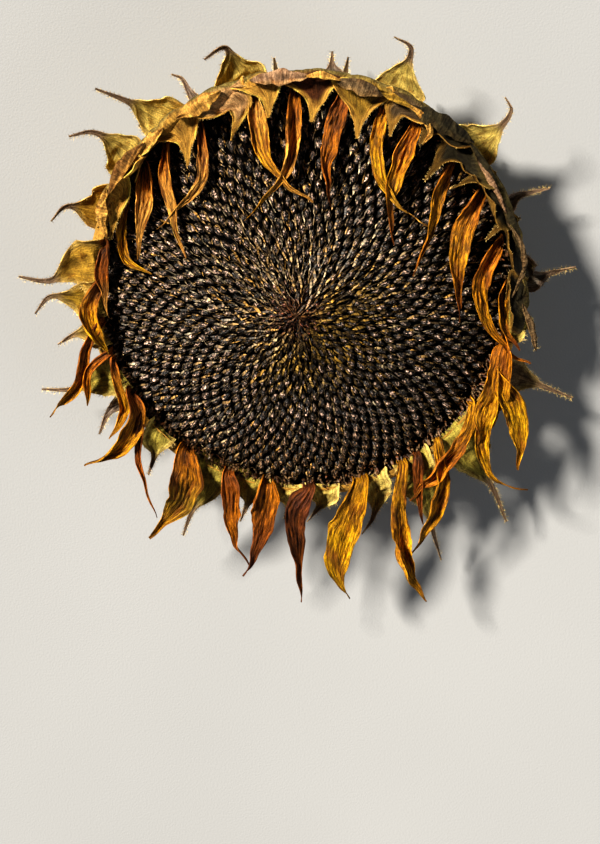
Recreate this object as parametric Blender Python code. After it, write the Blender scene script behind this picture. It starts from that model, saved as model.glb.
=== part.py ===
"""Dried sunflower seed head, cut flush with its stem and lying on its back with the seeds up.

Sizes here are in millimetres and become metres when a mesh is made. +Z is up, the origin is the middle
of the flat spot that the head lies on, and +Y is the side that was uppermost on the plant. The head
hung facing slightly down, so its petals all hang towards -Y.
"""

import math
import random
from collections import defaultdict, namedtuple

import bpy
import numpy as np
from mathutils import Vector
from mathutils.geometry import delaunay_2d_cdt

MM = 0.001

# Driving dimensions
RIM_HEIGHT = 36.0  # the outermost seeds' tops above the flat spot
DISC_RADIUS = 97.5
DOME_HEIGHT = 25.0  # how far the middle of the disc stands above its edge
SEED_LAYER = 11.0  # length of a seed, so depth of the layer
SEED_COUNT = 480
SEED_RELIEF = 3.4  # at the edge, and less where the seeds are smaller
SEED_REACH = 0.985  # the outermost seeds' centres, as a share of the disc's radius
SPIRAL_CENTRE = (-4.0, -6.0)  # the seed spiral starts a little off the middle
SPREAD_POWER = 0.61  # over 0.5, because the seeds grow larger outwards
RELIEF_POWER = 1 - 0.5 / SPREAD_POWER  # how the seeds' width grows with their radius
GAP = 0.4  # between touching pieces
COLLAR_WIDTH = 2.8  # the ring of petal bases
CREST = 2.5  # the receptacle's rim above the outermost seeds
RIM_RADIUS = 107.0
RIM_FALL = 0.15  # petals and folded bracts sink this much for each millimetre outside the rim
SEGMENTS = 60
FLAT_SPOT_RADIUS = 24.0
BLADE_THICKNESS = 0.75

# The direction that places on the face are read along, and how far away that viewpoint is
VIEW_TILT = math.radians(13)
VIEW_DISTANCE = 976.0

COLLAR_INNER = DISC_RADIUS + GAP
COLLAR_OUTER = COLLAR_INNER + COLLAR_WIDTH
COLLAR_TOP = RIM_HEIGHT + 0.5
WALL_RADIUS = COLLAR_OUTER + GAP
PETAL_RADIUS = (COLLAR_INNER + COLLAR_OUTER) / 2
GOLDEN_ANGLE = math.pi * (3 - math.sqrt(5))
CURVE_STEPS = 12
ROW_SPACING = 9.0
FEWEST_ROWS = 5
MOST_ROWS = 10
PETAL_SETTLING = 6.0  # how soon a blade turns level after its root
BRACT_SETTLING = 40.0

# Points outside the disc, which close the outermost seeds' cells
GUARD_COUNT = 70
GUARD_REACH = 1.04
TRIANGULATION_TOLERANCE = 1e-6
LEAST_RELIEF_SHARE = 0.1

# A petal or bract: the angle of its root round the disc, in degrees from +X, its greatest width, and
# the places it then passes on the way to its tip, as seen from the viewpoint, from the disc's middle.
# A petal's twist is in degrees from root to tip. A bract leaves the rim at level, counted from the
# outermost seeds' height, and climbs by rise for each millimetre outwards.
Petal = namedtuple("Petal", "root width path twist", defaults=(0,))
Bract = namedtuple("Bract", "root width path level rise", defaults=(0.5, 0.1))

PETALS = (
    Petal(121, 6, ((-50, 66), (-51, 54), (-59, 43), (-73, 30)), 40),
    Petal(132, 7, ((-68, 55), (-65, 40), (-59, 16)), -30),
    Petal(141, 10, ((-78, 45), (-80, 31), (-82, 16))),
    Petal(150, 6, ((-90, 31), (-88, 17), (-75, 8)), 40),
    Petal(166, 8, ((-99, 8), (-96, -13))),
    Petal(177, 10, ((-106, -8), (-104, -19), (-96, -31)), 25),
    Petal(188, 7, ((-107, -27), (-112, -46), (-126, -61)), 30),
    Petal(197, 5, ((-105, -38), (-107, -57))),
    Petal(199.5, 6, ((-91, -47), (-88, -58), (-96, -73)), -40),
    Petal(210, 12, ((-83, -60), (-91, -76), (-109, -86)), 35),
    Petal(217, 4.5, ((-82, -80), (-79, -94), (-73, -111))),
    Petal(233.5, 18, ((-59, -92), (-64, -107), (-77, -121)), 20),
    Petal(247.5, 11, ((-36, -99), (-35, -120), (-28, -134)), -30),
    Petal(259, 15, ((-20, -106), (-25, -130), (-31, -140)), 25),
    Petal(271, 13, ((-4, -107), (-4, -127), (-2, -153)), 20),
    Petal(286, 18, ((21, -113), (16, -137), (22, -152)), -15),
    Petal(299, 11, ((46, -108), (48, -132), (60, -153)), 60),
    Petal(304, 6, ((56, -101), (58, -115))),
    Petal(311, 9, ((67, -95), (61, -114), (51, -132)), 35),
    Petal(326, 9, ((79, -70), (65, -88), (51, -103)), 30),
    Petal(337, 13, ((102, -57), (105, -72), (105, -87)), 20),
    Petal(339, 9, ((91, -54), (87, -76), (94, -93), (109, -97)), -30),
    Petal(346, 16, ((94, -44), (89, -60), (83, -77)), 15),
    Petal(3, 8, ((96, -11), (99, -21), (105, -29)), 20),
    Petal(15.5, 10, ((86, 8), (87, -10), (97, -27), (110, -36)), 40),
    Petal(31, 12, ((77, 30), (74, 8), (76, -15)), 15),
    Petal(43.5, 8, ((65, 49), (61, 31), (52, 7)), 70),
    Petal(57.5, 10, ((46, 63), (41, 45), (43, 22)), 25),
    Petal(67.5, 8, ((35, 68), (38, 53), (48, 40), (63, 30)), -50),
    Petal(79.5, 10, ((12, 73), (10, 56), (12, 41)), 20),
    Petal(93, 9, ((-7, 76), (-10, 58), (-17, 48), (-29, 35)), 50),
    Petal(104, 10, ((-20, 68), (-12, 55), (3, 43)), -35),
)

# Bracts that stand out round the rim, each with a tail that curls
OUTER_BRACTS = (
    Bract(107, 28, ((-34, 108), (-39, 118), (-49, 112)), -8, 0.5),
    Bract(129, 24, ((-74, 86), (-84, 91), (-102, 98)), -8, 0.3),
    Bract(143, 24, ((-91, 70), (-103, 77), (-115, 75)), -8, 0.3),
    Bract(158, 26, ((-104, 40), (-117, 41), (-124, 34)), -8, 0.3),
    Bract(172, 25, ((-113, 11), (-125, 5), (-140, 7))),
    Bract(182, 18, ((-115, -3), (-125, -3), (-132, -11)), 0.5, 0.0),
    Bract(191, 16, ((-112, -21), (-121, -26)), 0.5, -0.1),
    Bract(204, 20, ((-101, -43), (-115, -48), (-129, -48)), 0.5, -0.3),
    Bract(225, 16, ((-74, -81), (-77, -90)), 0.5, -0.2),
    Bract(242, 20, ((-49, -98), (-56, -109), (-60, -120)), 0.5, -0.3),
    Bract(255, 18, ((-27, -101), (-32, -113)), 0.5, -0.3),
    Bract(265, 16, ((-8, -104), (-10, -112)), 0.5, -0.3),
    Bract(275, 17, ((8, -104), (1, -113)), 0.5, -0.3),
    Bract(289, 18, ((35, -103), (33, -112), (28, -119)), 0.5, -0.3),
    Bract(302, 20, ((60, -104), (63, -118), (67, -132)), 0.5, -0.4),
    Bract(317, 24, ((83, -84), (92, -96), (99, -113)), 0.5, -0.3),
    Bract(337, 20, ((108, -43), (118, -47), (131, -52)), 0.5, -0.2),
    Bract(351, 18, ((109, -16), (113, -28)), 0.5, 0.0),
    Bract(4, 20, ((111, 6), (120, 9), (132, 12)), -8, 0.3),
    Bract(41, 26, ((86, 73), (96, 81), (100, 88), (97, 94)), -8, 0.5),
    Bract(65, 26, ((48, 106), (51, 118), (43, 123)), -8, 0.5),
    Bract(120, 9, ((-57, 98), (-60, 103), (-65, 105)), -12, 0.0),
    Bract(83, 14, ((13, 108), (13, 115)), -12, 0.0),
    Bract(22, 12, ((103, 46), (110, 48), (119, 50)), -12, 0.0),
    Bract(212, 10, ((-96, -59), (-101, -70)), -6, -0.2),
)

# Bracts of the upper side that have folded in over the seeds
FOLDED_BRACTS = (
    Bract(358, 26, ((100, 8), (98, -4))),
    Bract(14, 29, ((97, 33), (88, 25))),
    Bract(27, 29, ((85, 55), (71, 50))),
    Bract(39, 29, ((72, 69), (58, 54))),
    Bract(51, 29, ((62, 80), (55, 71))),
    Bract(62, 29, ((44, 88), (41, 75))),
    Bract(75, 29, ((27, 93), (25, 74))),
    Bract(88, 31, ((5, 95), (3, 82))),
    Bract(101, 29, ((-18, 95), (-18, 84))),
    Bract(113, 29, ((-32, 90), (-36, 73))),
    Bract(126, 29, ((-59, 77), (-57, 61))),
    Bract(139, 26, ((-77, 71), (-83, 53))),
    Bract(152, 26, ((-92, 45), (-95, 25))),
)

# The row behind them, lower on the back and seen mostly from the side
BACK_ROW_COUNT = 18
BACK_ROW_WIDTH = 24.0
BACK_ROW_PATH = ((84.0, 13.0), (97.0, 13.5), (105.0, 14.0))  # radius and height, from the root
BACK_ROW_TIP = (111.0, 13.0)
BACK_ROW_TIP_SCATTER = (2.0, 3.0)
BACK_ROW_ANGLE_SCATTER = 0.2  # as a share of the step between two of them

# How a folded bract climbs over the rim: each point is counted from the rim's radius and seeds' edge
FOLD_PATH = ((-3.5, -6.0), (2.5, 6.0), (-1.0, 14.0))
FOLD_CLEARANCE = 10.0  # over the seeds, so that the petals pass beneath
PETAL_CLEARANCE = 4.0
PETAL_RISE = 6.0  # a petal stands up this far before it turns over
PETAL_LEAN_IN = 1.5  # a petal that crosses the seeds leans this far inwards first
PETAL_LEAN_OUT = 1.0
TWIST_LIFT = 0.25  # a petal turned on edge is this share of its width higher
ROOT_DEPTH = 6.0  # a blade starts this far below where it leaves its base
ROOT_SINK = 2.5  # and a bract this far inside it
ROOT_PROUD = 0.5  # where it comes out of it

# How much of a bract's length stays broad, and its tail's width
OUTER_BROAD = 0.28
FOLDED_BROAD = 0.5
BACK_BROAD = 0.4
TAIL_SHARE = 0.07
LEAST_TAIL = 1.6

# Points across a blade: the place from -1 to 1, and the height as a share of the width
PETAL_SECTION = ((-1, 0.16), (-0.35, -0.04), (0.35, 0.06), (1, 0.12))
BRACT_SECTION = ((-1, 0.08), (0, -0.04), (1, 0.08))

# Turned outline of the receptacle, from the middle of its back round its rim to its floor
BACK_PROFILE = (
    (FLAT_SPOT_RADIUS, 0.0),
    (50.0, 3.0),
    (76.0, 8.0),
    (96.0, 15.5),
    (105.5, 25.0),
    (RIM_RADIUS, RIM_HEIGHT - 2.0),
    (RIM_RADIUS - 3.0, RIM_HEIGHT + CREST),
    (WALL_RADIUS, RIM_HEIGHT + CREST - 1.0),
)


def clear_scene():
    for obj in list(bpy.data.objects):
        bpy.data.objects.remove(obj, do_unlink=True)


def material(name, colour, roughness):
    made = bpy.data.materials.new(name)
    made.use_nodes = True
    shader = made.node_tree.nodes["Principled BSDF"]
    shader.inputs["Base Color"].default_value = (*colour, 1.0)
    shader.inputs["Roughness"].default_value = roughness
    shader.inputs["Metallic"].default_value = 0.0
    return made


def mesh_object(name, points, faces):
    """An object from points in millimetres, shaded smooth with its sharper edges kept."""
    mesh = bpy.data.meshes.new(name)
    mesh.from_pydata([tuple(c * MM for c in point) for point in points], [], faces)
    mesh.shade_smooth()
    mesh.set_sharp_from_angle(angle=math.radians(40))
    obj = bpy.data.objects.new(name, mesh)
    bpy.context.scene.collection.objects.link(obj)
    return obj


def turned(name, profile, closed_loop):
    """A solid turned round Z: a ring from a closed outline, or else a solid whose ends meet the axis."""
    points = []
    faces = []
    for radius, height in profile:
        for step in range(SEGMENTS):
            angle = 2 * math.pi * step / SEGMENTS
            points.append((radius * math.cos(angle), radius * math.sin(angle), height))
    rings = len(profile)
    for ring in range(rings if closed_loop else rings - 1):
        lower = ring * SEGMENTS
        upper = (ring + 1) % rings * SEGMENTS
        for step in range(SEGMENTS):
            after = (step + 1) % SEGMENTS
            faces.append((lower + step, lower + after, upper + after, upper + step))
    if not closed_loop:
        faces.append(tuple(reversed(range(SEGMENTS))))
        apex = len(points)
        points.append((0.0, 0.0, floor_height(0.0)))
        last = (rings - 1) * SEGMENTS
        for step in range(SEGMENTS):
            faces.append((last + step, last + (step + 1) % SEGMENTS, apex))
    return mesh_object(name, points, faces)


def back_radius(height):
    """How far out the receptacle's back is at this height, up to its rim."""
    radii, heights = zip(*BACK_PROFILE[:-1])
    return float(np.interp(height, heights, radii))


def dome_height(radius):
    return RIM_HEIGHT + DOME_HEIGHT * (1 - (radius / DISC_RADIUS) ** 2)


def seed_foot_height(radius):
    """The underside of the seed layer, a shallow cone."""
    return RIM_HEIGHT - SEED_LAYER + DOME_HEIGHT * (1 - radius / DISC_RADIUS)


def floor_height(radius):
    return seed_foot_height(radius) - GAP


def top_height(radius):
    """The highest part of the seeds and rim at this radius, falling away outside the rim."""
    crest = RIM_HEIGHT + CREST - RIM_FALL * max(0.0, radius - RIM_RADIUS)
    return max(dome_height(radius), crest)


def polar(angle, radius, height):
    return Vector((radius * math.cos(angle), radius * math.sin(angle), height))


def seen_at(x, y, height_at):
    """The point that is seen at (x, y) from the viewpoint and lies at the height for its radius."""
    eye = Vector((0, math.sin(VIEW_TILT), math.cos(VIEW_TILT))) * VIEW_DISTANCE
    eye.z += RIM_HEIGHT
    target = Vector((x, y * math.cos(VIEW_TILT), RIM_HEIGHT - y * math.sin(VIEW_TILT)))
    point = target
    for _ in range(6):
        height = height_at(math.hypot(point.x, point.y))
        share = (eye.z - height) / (eye.z - target.z)
        point = eye.lerp(target, share)
    return point


def smooth_path(points):
    """Evenly spaced points on a centripetal Catmull-Rom curve through the given ones."""
    given = np.array([points[0] * 2 - points[1], *points, points[-1] * 2 - points[-2]])
    spans = np.sqrt(np.linalg.norm(np.diff(given, axis=0), axis=1))
    fine = []
    for index in range(1, len(given) - 2):
        start, end = given[index], given[index + 1]
        leave = slope(given, spans, index) * spans[index]
        arrive = slope(given, spans, index + 1) * spans[index]
        for t in np.arange(CURVE_STEPS) / CURVE_STEPS:
            ease = t * t * (3 - 2 * t)
            pull = t * (1 - t) * (leave * (1 - t) - arrive * t)
            fine.append(start + (end - start) * ease + pull)
    fine = np.array([*fine, given[-2]])
    travelled = np.concatenate([[0], np.cumsum(np.linalg.norm(np.diff(fine, axis=0), axis=1))])
    count = min(MOST_ROWS, max(FEWEST_ROWS, round(travelled[-1] / ROW_SPACING)))
    wanted = np.linspace(0, travelled[-1], count)
    return np.stack([np.interp(wanted, travelled, fine[:, axis]) for axis in range(3)], axis=1)


def slope(given, spans, index):
    """The curve's direction and speed at a given point."""
    before, after = spans[index - 1], spans[index]
    arriving = (given[index] - given[index - 1]) / before
    leaving = (given[index + 1] - given[index]) / after
    return arriving + leaving - (given[index + 1] - given[index - 1]) / (before + after)


def unit(rows):
    return rows / np.linalg.norm(rows, axis=-1, keepdims=True)


def blade(name, spine, angle, widths, section, settling, twist=0.0):
    """A thin closed blade along the spine, rooted across the direction of angle, then lying level.

    section holds, for each point across, its place from -1 to 1 and its height as a share of the width.
    Both faces are split into triangles alike.
    """
    along = len(spine)
    tangents = unit(np.gradient(spine, axis=0))
    step = np.linalg.norm(spine[1] - spine[0])
    outwards = np.array((math.cos(angle), math.sin(angle), 0))
    inward = np.dot(spine[along // 2] - spine[0], outwards) < 0
    side = np.cross((0, 0, 1), outwards) * (1 if inward else -1)
    settled = 1 - math.exp(-step / settling)
    middle = np.empty((along, len(section), 3))
    for row, tangent in enumerate(tangents):
        side = unit(side - tangent * np.dot(side, tangent))
        level = np.cross(tangent, (0, 0, 1))
        side = unit(side + (level - side) * np.linalg.norm(level) * settled)
        up = np.cross(side, tangent)
        turn = math.radians(twist) * row / (along - 1)
        across_way = side * math.cos(turn) + up * math.sin(turn)
        up_way = up * math.cos(turn) - side * math.sin(turn)
        flat = min(1.0, 3 * row / along)
        for column, (place, height) in enumerate(section):
            offset = across_way * place / 2 + up_way * height * flat
            middle[row, column] = spine[row] + widths[row] * offset
    normals = unit(np.cross(np.gradient(middle, axis=1), np.gradient(middle, axis=0)))
    half = normals * BLADE_THICKNESS / 2
    points = np.concatenate([(middle + half).reshape(-1, 3), (middle - half).reshape(-1, 3)])
    return mesh_object(name, points.tolist(), blade_faces(along, len(section)))


def blade_faces(along, across):
    back = along * across
    faces = []

    def corner(row, column, side=0):
        return side + row * across + column

    for row in range(along - 1):
        for column in range(across - 1):
            a = corner(row, column)
            b = corner(row, column + 1)
            c = corner(row + 1, column + 1)
            d = corner(row + 1, column)
            faces += [(a, b, c), (a, c, d)]
            faces += [(back + c, back + b, back + a), (back + d, back + c, back + a)]
    rim = [corner(0, column) for column in range(across)]
    rim += [corner(row, across - 1) for row in range(1, along)]
    rim += [corner(along - 1, column) for column in reversed(range(across - 1))]
    rim += [corner(row, 0) for row in reversed(range(1, along - 1))]
    for index, here in enumerate(rim):
        after = rim[(index + 1) % len(rim)]
        faces += [(after, here, back + here), (after, back + here, back + after)]
    return faces


def joined(base, blades):
    """Fuses the blades into the base, and removes them."""
    holder = bpy.data.collections.new(base.name + "_blades")
    bpy.context.scene.collection.children.link(holder)
    for obj in blades:
        bpy.context.scene.collection.objects.unlink(obj)
        holder.objects.link(obj)
    union = base.modifiers.new("blades", "BOOLEAN")
    union.operation = "UNION"
    union.operand_type = "COLLECTION"
    union.collection = holder
    union.solver = "MANIFOLD"
    bpy.context.view_layer.update()
    graph = bpy.context.evaluated_depsgraph_get()
    mesh = bpy.data.meshes.new_from_object(base.evaluated_get(graph))
    base.modifiers.remove(union)
    base.data = mesh
    for obj in blades:
        bpy.data.objects.remove(obj, do_unlink=True)
    bpy.data.collections.remove(holder)
    return base


def seed_places():
    """Seed centres on a golden-angle spiral whose start is off the disc's middle."""
    places = []
    for index in range(SEED_COUNT):
        share = ((index + 0.5) / SEED_COUNT) ** SPREAD_POWER
        angle = index * GOLDEN_ANGLE
        pull = 1 - share**2
        radius = DISC_RADIUS * SEED_REACH * share
        x = radius * math.cos(angle) + SPIRAL_CENTRE[0] * pull
        y = radius * math.sin(angle) + SPIRAL_CENTRE[1] * pull
        places.append((x, y))
    return places


def make_seed_disc():
    """The seeds as relief: each stands up in the middle of its cell, and the cells' corners are low."""
    seeds = seed_places()
    guard_step = 2 * math.pi / GUARD_COUNT
    guards = [polar(i * guard_step, DISC_RADIUS * GUARD_REACH, 0)[:2] for i in range(GUARD_COUNT)]
    flat = [Vector(place) for place in seeds + guards]
    _, _, triangles, *_ = delaunay_2d_cdt(flat, [], [], 0, TRIANGULATION_TOLERANCE)
    points = [(x, y, dome_height(math.hypot(x, y))) for x, y in seeds]
    cells = defaultdict(list)
    for corners in triangles:
        middle = sum((flat[i] for i in corners), Vector((0, 0))) / 3
        if any(i >= len(seeds) for i in corners):
            middle = middle.normalized() * DISC_RADIUS
        for i in corners:
            cells[i].append(len(points))
        outwards = max(LEAST_RELIEF_SHARE, middle.length / DISC_RADIUS)
        relief = SEED_RELIEF * outwards**RELIEF_POWER
        points.append((*middle, dome_height(middle.length) - relief))
    faces = []
    for index, (x, y) in enumerate(seeds):
        around = sorted(cells[index], key=lambda c: math.atan2(points[c][1] - y, points[c][0] - x))
        for here, after in zip(around, around[1:] + around[:1]):
            faces.append((index, here, after))
    border = {}
    edges = {(a, b) for face in faces for a, b in zip(face, face[1:] + face[:1])}
    for a, b in edges:
        if (b, a) not in edges:
            border[a] = b
    loop = [next(iter(border))]
    while border[loop[-1]] != loop[0]:
        loop.append(border[loop[-1]])
    feet = {}
    for corner in loop:
        feet[corner] = len(points)
        points.append((points[corner][0], points[corner][1], seed_foot_height(DISC_RADIUS)))
    apex = len(points)
    points.append((0.0, 0.0, seed_foot_height(0.0)))
    for corner in loop:
        after = border[corner]
        faces.append((corner, feet[corner], feet[after], after))
        faces.append((feet[after], feet[corner], apex))
    return mesh_object("seed_disc", points, faces)


def petal_widths(width, count):
    """Narrow at the root, widest near a third of the way and drawn out to the tip."""
    stops = (0, 0.14, 0.38, 0.6, 0.85, 1)
    shares = np.array((0.4, 0.5, 1, 0.9, 0.45, 0.16))
    return np.interp(np.linspace(0, 1, count), stops, shares * width)


def make_petal(index, petal):
    angle = math.radians(petal.root)
    first = seen_at(*petal.path[0], top_height)
    lean = -PETAL_LEAN_IN if first.xy.length < PETAL_RADIUS else PETAL_LEAN_OUT
    on_edge = abs(math.sin(math.radians(petal.twist)))
    lift = PETAL_CLEARANCE + TWIST_LIFT * petal.width * on_edge
    spine = [
        polar(angle, PETAL_RADIUS, RIM_HEIGHT - ROOT_DEPTH),
        polar(angle, PETAL_RADIUS, RIM_HEIGHT + 1),
        polar(angle, PETAL_RADIUS + lean, RIM_HEIGHT + PETAL_RISE),
    ]
    spine += [seen_at(x, y, lambda radius: top_height(radius) + lift) for x, y in petal.path]
    spine = smooth_path(spine)
    widths = petal_widths(petal.width, len(spine))
    return blade(f"petal_{index}", spine, angle, widths, PETAL_SECTION, PETAL_SETTLING, petal.twist)


def bract_widths(width, count, broad_until):
    """Broad for this share of the length, then drawn in quickly to a thin tail."""
    tail = max(LEAST_TAIL, TAIL_SHARE * width)
    tail_from = broad_until + 0.45 * (1 - broad_until)
    stops = (0, broad_until, 0.5 * (broad_until + tail_from), tail_from, 1)
    shares = (width, width, 0.55 * width, 2 * tail, tail)
    return np.interp(np.linspace(0, 1, count), stops, shares)


def make_outer_bract(index, bract):
    angle = math.radians(bract.root)
    foot = RIM_HEIGHT + bract.level

    def height_at(radius):
        return foot + bract.rise * max(0.0, radius - RIM_RADIUS)

    root_height = foot - ROOT_DEPTH
    spine = [
        polar(angle, back_radius(root_height) - ROOT_SINK, root_height),
        polar(angle, back_radius(foot) + ROOT_PROUD, foot),
    ]
    spine += [seen_at(x, y, height_at) for x, y in bract.path]
    spine = smooth_path(spine)
    widths = bract_widths(bract.width, len(spine), OUTER_BROAD)
    return blade(f"outer_bract_{index}", spine, angle, widths, BRACT_SECTION, BRACT_SETTLING)


def make_folded_bract(index, bract):
    angle = math.radians(bract.root)

    def height_at(radius):
        return top_height(radius) + FOLD_CLEARANCE

    spine = [polar(angle, RIM_RADIUS + out, RIM_HEIGHT + up) for out, up in FOLD_PATH]
    spine += [seen_at(x, y, height_at) for x, y in bract.path]
    spine = smooth_path(spine)
    widths = bract_widths(bract.width, len(spine), FOLDED_BROAD)
    return blade(f"folded_bract_{index}", spine, angle, widths, BRACT_SECTION, BRACT_SETTLING)


def make_back_bract(index, draw):
    place = index + draw.uniform(-BACK_ROW_ANGLE_SCATTER, BACK_ROW_ANGLE_SCATTER)
    angle = 2 * math.pi * place / BACK_ROW_COUNT
    tip = [middle + draw.uniform(-by, by) for middle, by in zip(BACK_ROW_TIP, BACK_ROW_TIP_SCATTER)]
    spine = smooth_path([polar(angle, *point) for point in (*BACK_ROW_PATH, tip)])
    widths = bract_widths(BACK_ROW_WIDTH, len(spine), BACK_BROAD)
    return blade(f"back_bract_{index}", spine, angle, widths, BRACT_SECTION, BRACT_SETTLING)


def make_receptacle():
    profile = BACK_PROFILE + ((WALL_RADIUS, floor_height(WALL_RADIUS)),)
    body = turned("receptacle", profile, closed_loop=False)
    draw = random.Random(7)
    bracts = [make_outer_bract(*item) for item in enumerate(OUTER_BRACTS)]
    bracts += [make_folded_bract(*item) for item in enumerate(FOLDED_BRACTS)]
    bracts += [make_back_bract(index, draw) for index in range(BACK_ROW_COUNT)]
    return joined(body, bracts)


def make_petals():
    profile = (
        (COLLAR_INNER, RIM_HEIGHT - SEED_LAYER),
        (COLLAR_OUTER, RIM_HEIGHT - SEED_LAYER),
        (COLLAR_OUTER, COLLAR_TOP),
        (COLLAR_INNER, COLLAR_TOP),
    )
    collar = turned("petals", profile, closed_loop=True)
    return joined(collar, [make_petal(*item) for item in enumerate(PETALS)])


def main():
    clear_scene()
    for obj, name, colour, roughness in (
        (make_seed_disc(), "seed_hull", (0.05, 0.045, 0.045), 0.55),
        (make_receptacle(), "dry_bract", (0.42, 0.32, 0.12), 0.8),
        (make_petals(), "dry_petal", (0.75, 0.36, 0.05), 0.65),
    ):
        obj.data.materials.clear()
        obj.data.materials.append(material(name, colour, roughness))


main()
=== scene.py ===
"""Looks of the dried sunflower seed head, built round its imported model.

Sizes here are in millimetres and become metres when a mesh is made. +Z is up, the origin is the middle
of the flat spot that the head lies on, and +Y is the side that is uppermost in the photograph.
"""

import math
import random
from collections import namedtuple

import bpy
import numpy as np
from mathutils import Matrix, Vector


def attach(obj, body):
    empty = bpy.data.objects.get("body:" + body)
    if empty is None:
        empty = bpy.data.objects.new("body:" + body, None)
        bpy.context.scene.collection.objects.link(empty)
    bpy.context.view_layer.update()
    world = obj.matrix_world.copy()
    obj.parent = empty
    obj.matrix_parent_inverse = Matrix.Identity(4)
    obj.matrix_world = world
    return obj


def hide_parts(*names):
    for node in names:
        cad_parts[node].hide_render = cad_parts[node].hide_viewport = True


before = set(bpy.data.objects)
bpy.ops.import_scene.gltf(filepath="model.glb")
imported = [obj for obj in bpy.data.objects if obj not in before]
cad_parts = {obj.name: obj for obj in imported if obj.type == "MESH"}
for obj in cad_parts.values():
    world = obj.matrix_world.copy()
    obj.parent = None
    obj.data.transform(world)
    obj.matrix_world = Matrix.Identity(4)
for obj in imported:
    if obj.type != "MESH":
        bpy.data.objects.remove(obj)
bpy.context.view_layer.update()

MM = 0.001

# The head's driving dimensions, as in its solids
RIM_HEIGHT = 36.0
DISC_RADIUS = 97.5
DOME_HEIGHT = 25.0
SEED_LAYER = 11.0
SEED_REACH = 0.985
SPIRAL_CENTRE = (-4.0, -6.0)
SPREAD_POWER = 0.61
GAP = 0.4
COLLAR_WIDTH = 2.8
CREST = 2.5
RIM_RADIUS = 107.0
RIM_FALL = 0.15
FLAT_SPOT_RADIUS = 24.0
VIEW_TILT = math.radians(13)
VIEW_DISTANCE = 976.0
PETAL_RADIUS = DISC_RADIUS + GAP + COLLAR_WIDTH / 2
WALL_RADIUS = DISC_RADIUS + 2 * GAP + COLLAR_WIDTH
GOLDEN_ANGLE = math.pi * (3 - math.sqrt(5))
PETAL_SETTLING = 6.0
BRACT_SETTLING = 40.0
PETAL_CLEARANCE = 4.0
PETAL_RISE = 6.0
PETAL_LEAN_IN = 1.5
PETAL_LEAN_OUT = 1.0
TWIST_LIFT = 0.25
ROOT_DEPTH = 6.0
ROOT_SINK = 2.5
ROOT_PROUD = 0.5
# Up to 2 mm nearer to the seeds than in the solids, so that the folds' backs cover the rim
FOLD_PATH = ((-3.5, -6.0), (0.5, 5.0), (-1.5, 13.0))
FOLD_CLEARANCE = 10.0
OUTER_BROAD = 0.28
BACK_BROAD = 0.4
TAIL_SHARE = 0.07
LEAST_TAIL = 1.6
PETAL_SECTION = ((-1, 0.16), (-0.35, -0.04), (0.35, 0.06), (1, 0.12))
BRACT_SECTION = ((-1, 0.08), (0, -0.04), (1, 0.08))
BACK_PROFILE = (
    (FLAT_SPOT_RADIUS, 0.0),
    (50.0, 3.0),
    (76.0, 8.0),
    (96.0, 15.5),
    (105.5, 25.0),
    (RIM_RADIUS, RIM_HEIGHT - 2.0),
    (RIM_RADIUS - 3.0, RIM_HEIGHT + CREST),
    (WALL_RADIUS, RIM_HEIGHT + CREST - 1.0),
)

# Colours, as linear light
TONES = {
    "yellow": (0.90, 0.47, 0.012),
    "gold": (0.80, 0.36, 0.012),
    "orange": (0.68, 0.22, 0.010),
    "apricot": (0.86, 0.42, 0.075),
    "rust": (0.38, 0.105, 0.012),
    "brown": (0.13, 0.040, 0.010),
    "plum": (0.16, 0.045, 0.018),
    "tan": (0.70, 0.37, 0.080),
    "olive": (0.34, 0.20, 0.018),
    "ochre": (0.69, 0.37, 0.065),
    "amber": (0.50, 0.285, 0.035),
    "umber": (0.26, 0.125, 0.032),
    "mauve": (0.40, 0.235, 0.13),
    "green": (0.42, 0.33, 0.060),
    "straw": (0.76, 0.54, 0.18),
    # partly painted light: a bright tan, lit beyond its own colour, for the hollow of the bract at 113
    # degrees
    "buff": (0.98, 0.56, 0.23),
    "felt": (0.66, 0.49, 0.12),
    "bark": (0.19, 0.120, 0.056),
    "grey": (0.24, 0.20, 0.15),
    "shade": (0.036, 0.028, 0.012),
    # painted shade: near black for the seed bed and the feet of the scales and withered florets
    "dark": (0.0016, 0.0011, 0.0008),
    # painted shade on the seeds' lower rings, between the seeds
    "seed_flank_shade": (0.0016, 0.0012, 0.0010),
    "slate": (0.066, 0.046, 0.033),
    "lilac": (0.40, 0.268, 0.198),
    "pith": (0.66, 0.55, 0.36),
}

# Root angle in degrees, greatest width, places towards the tip as seen from the viewpoint, and twist in
# degrees. These are as in the solids, but for less twist in the petals at 150, 259, 286 and 326 degrees
# and a broader, higher bract at 83 degrees. The tones go from the root to the tip, and a petal is still
# nearly at its full width at the share of its length that narrow gives. An outer bract's path lies level
# millimetres over the rim and gains rise for each millimetre beyond it. A folded bract arches by hollow
# millimetres across its width.
Petal = namedtuple("Petal", "root width path twist tones narrow", defaults=(0.6,))
Bract = namedtuple("Bract", "root width path level rise tone hollow", defaults=(0.5, 0.1, "ochre", 4.5))

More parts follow.
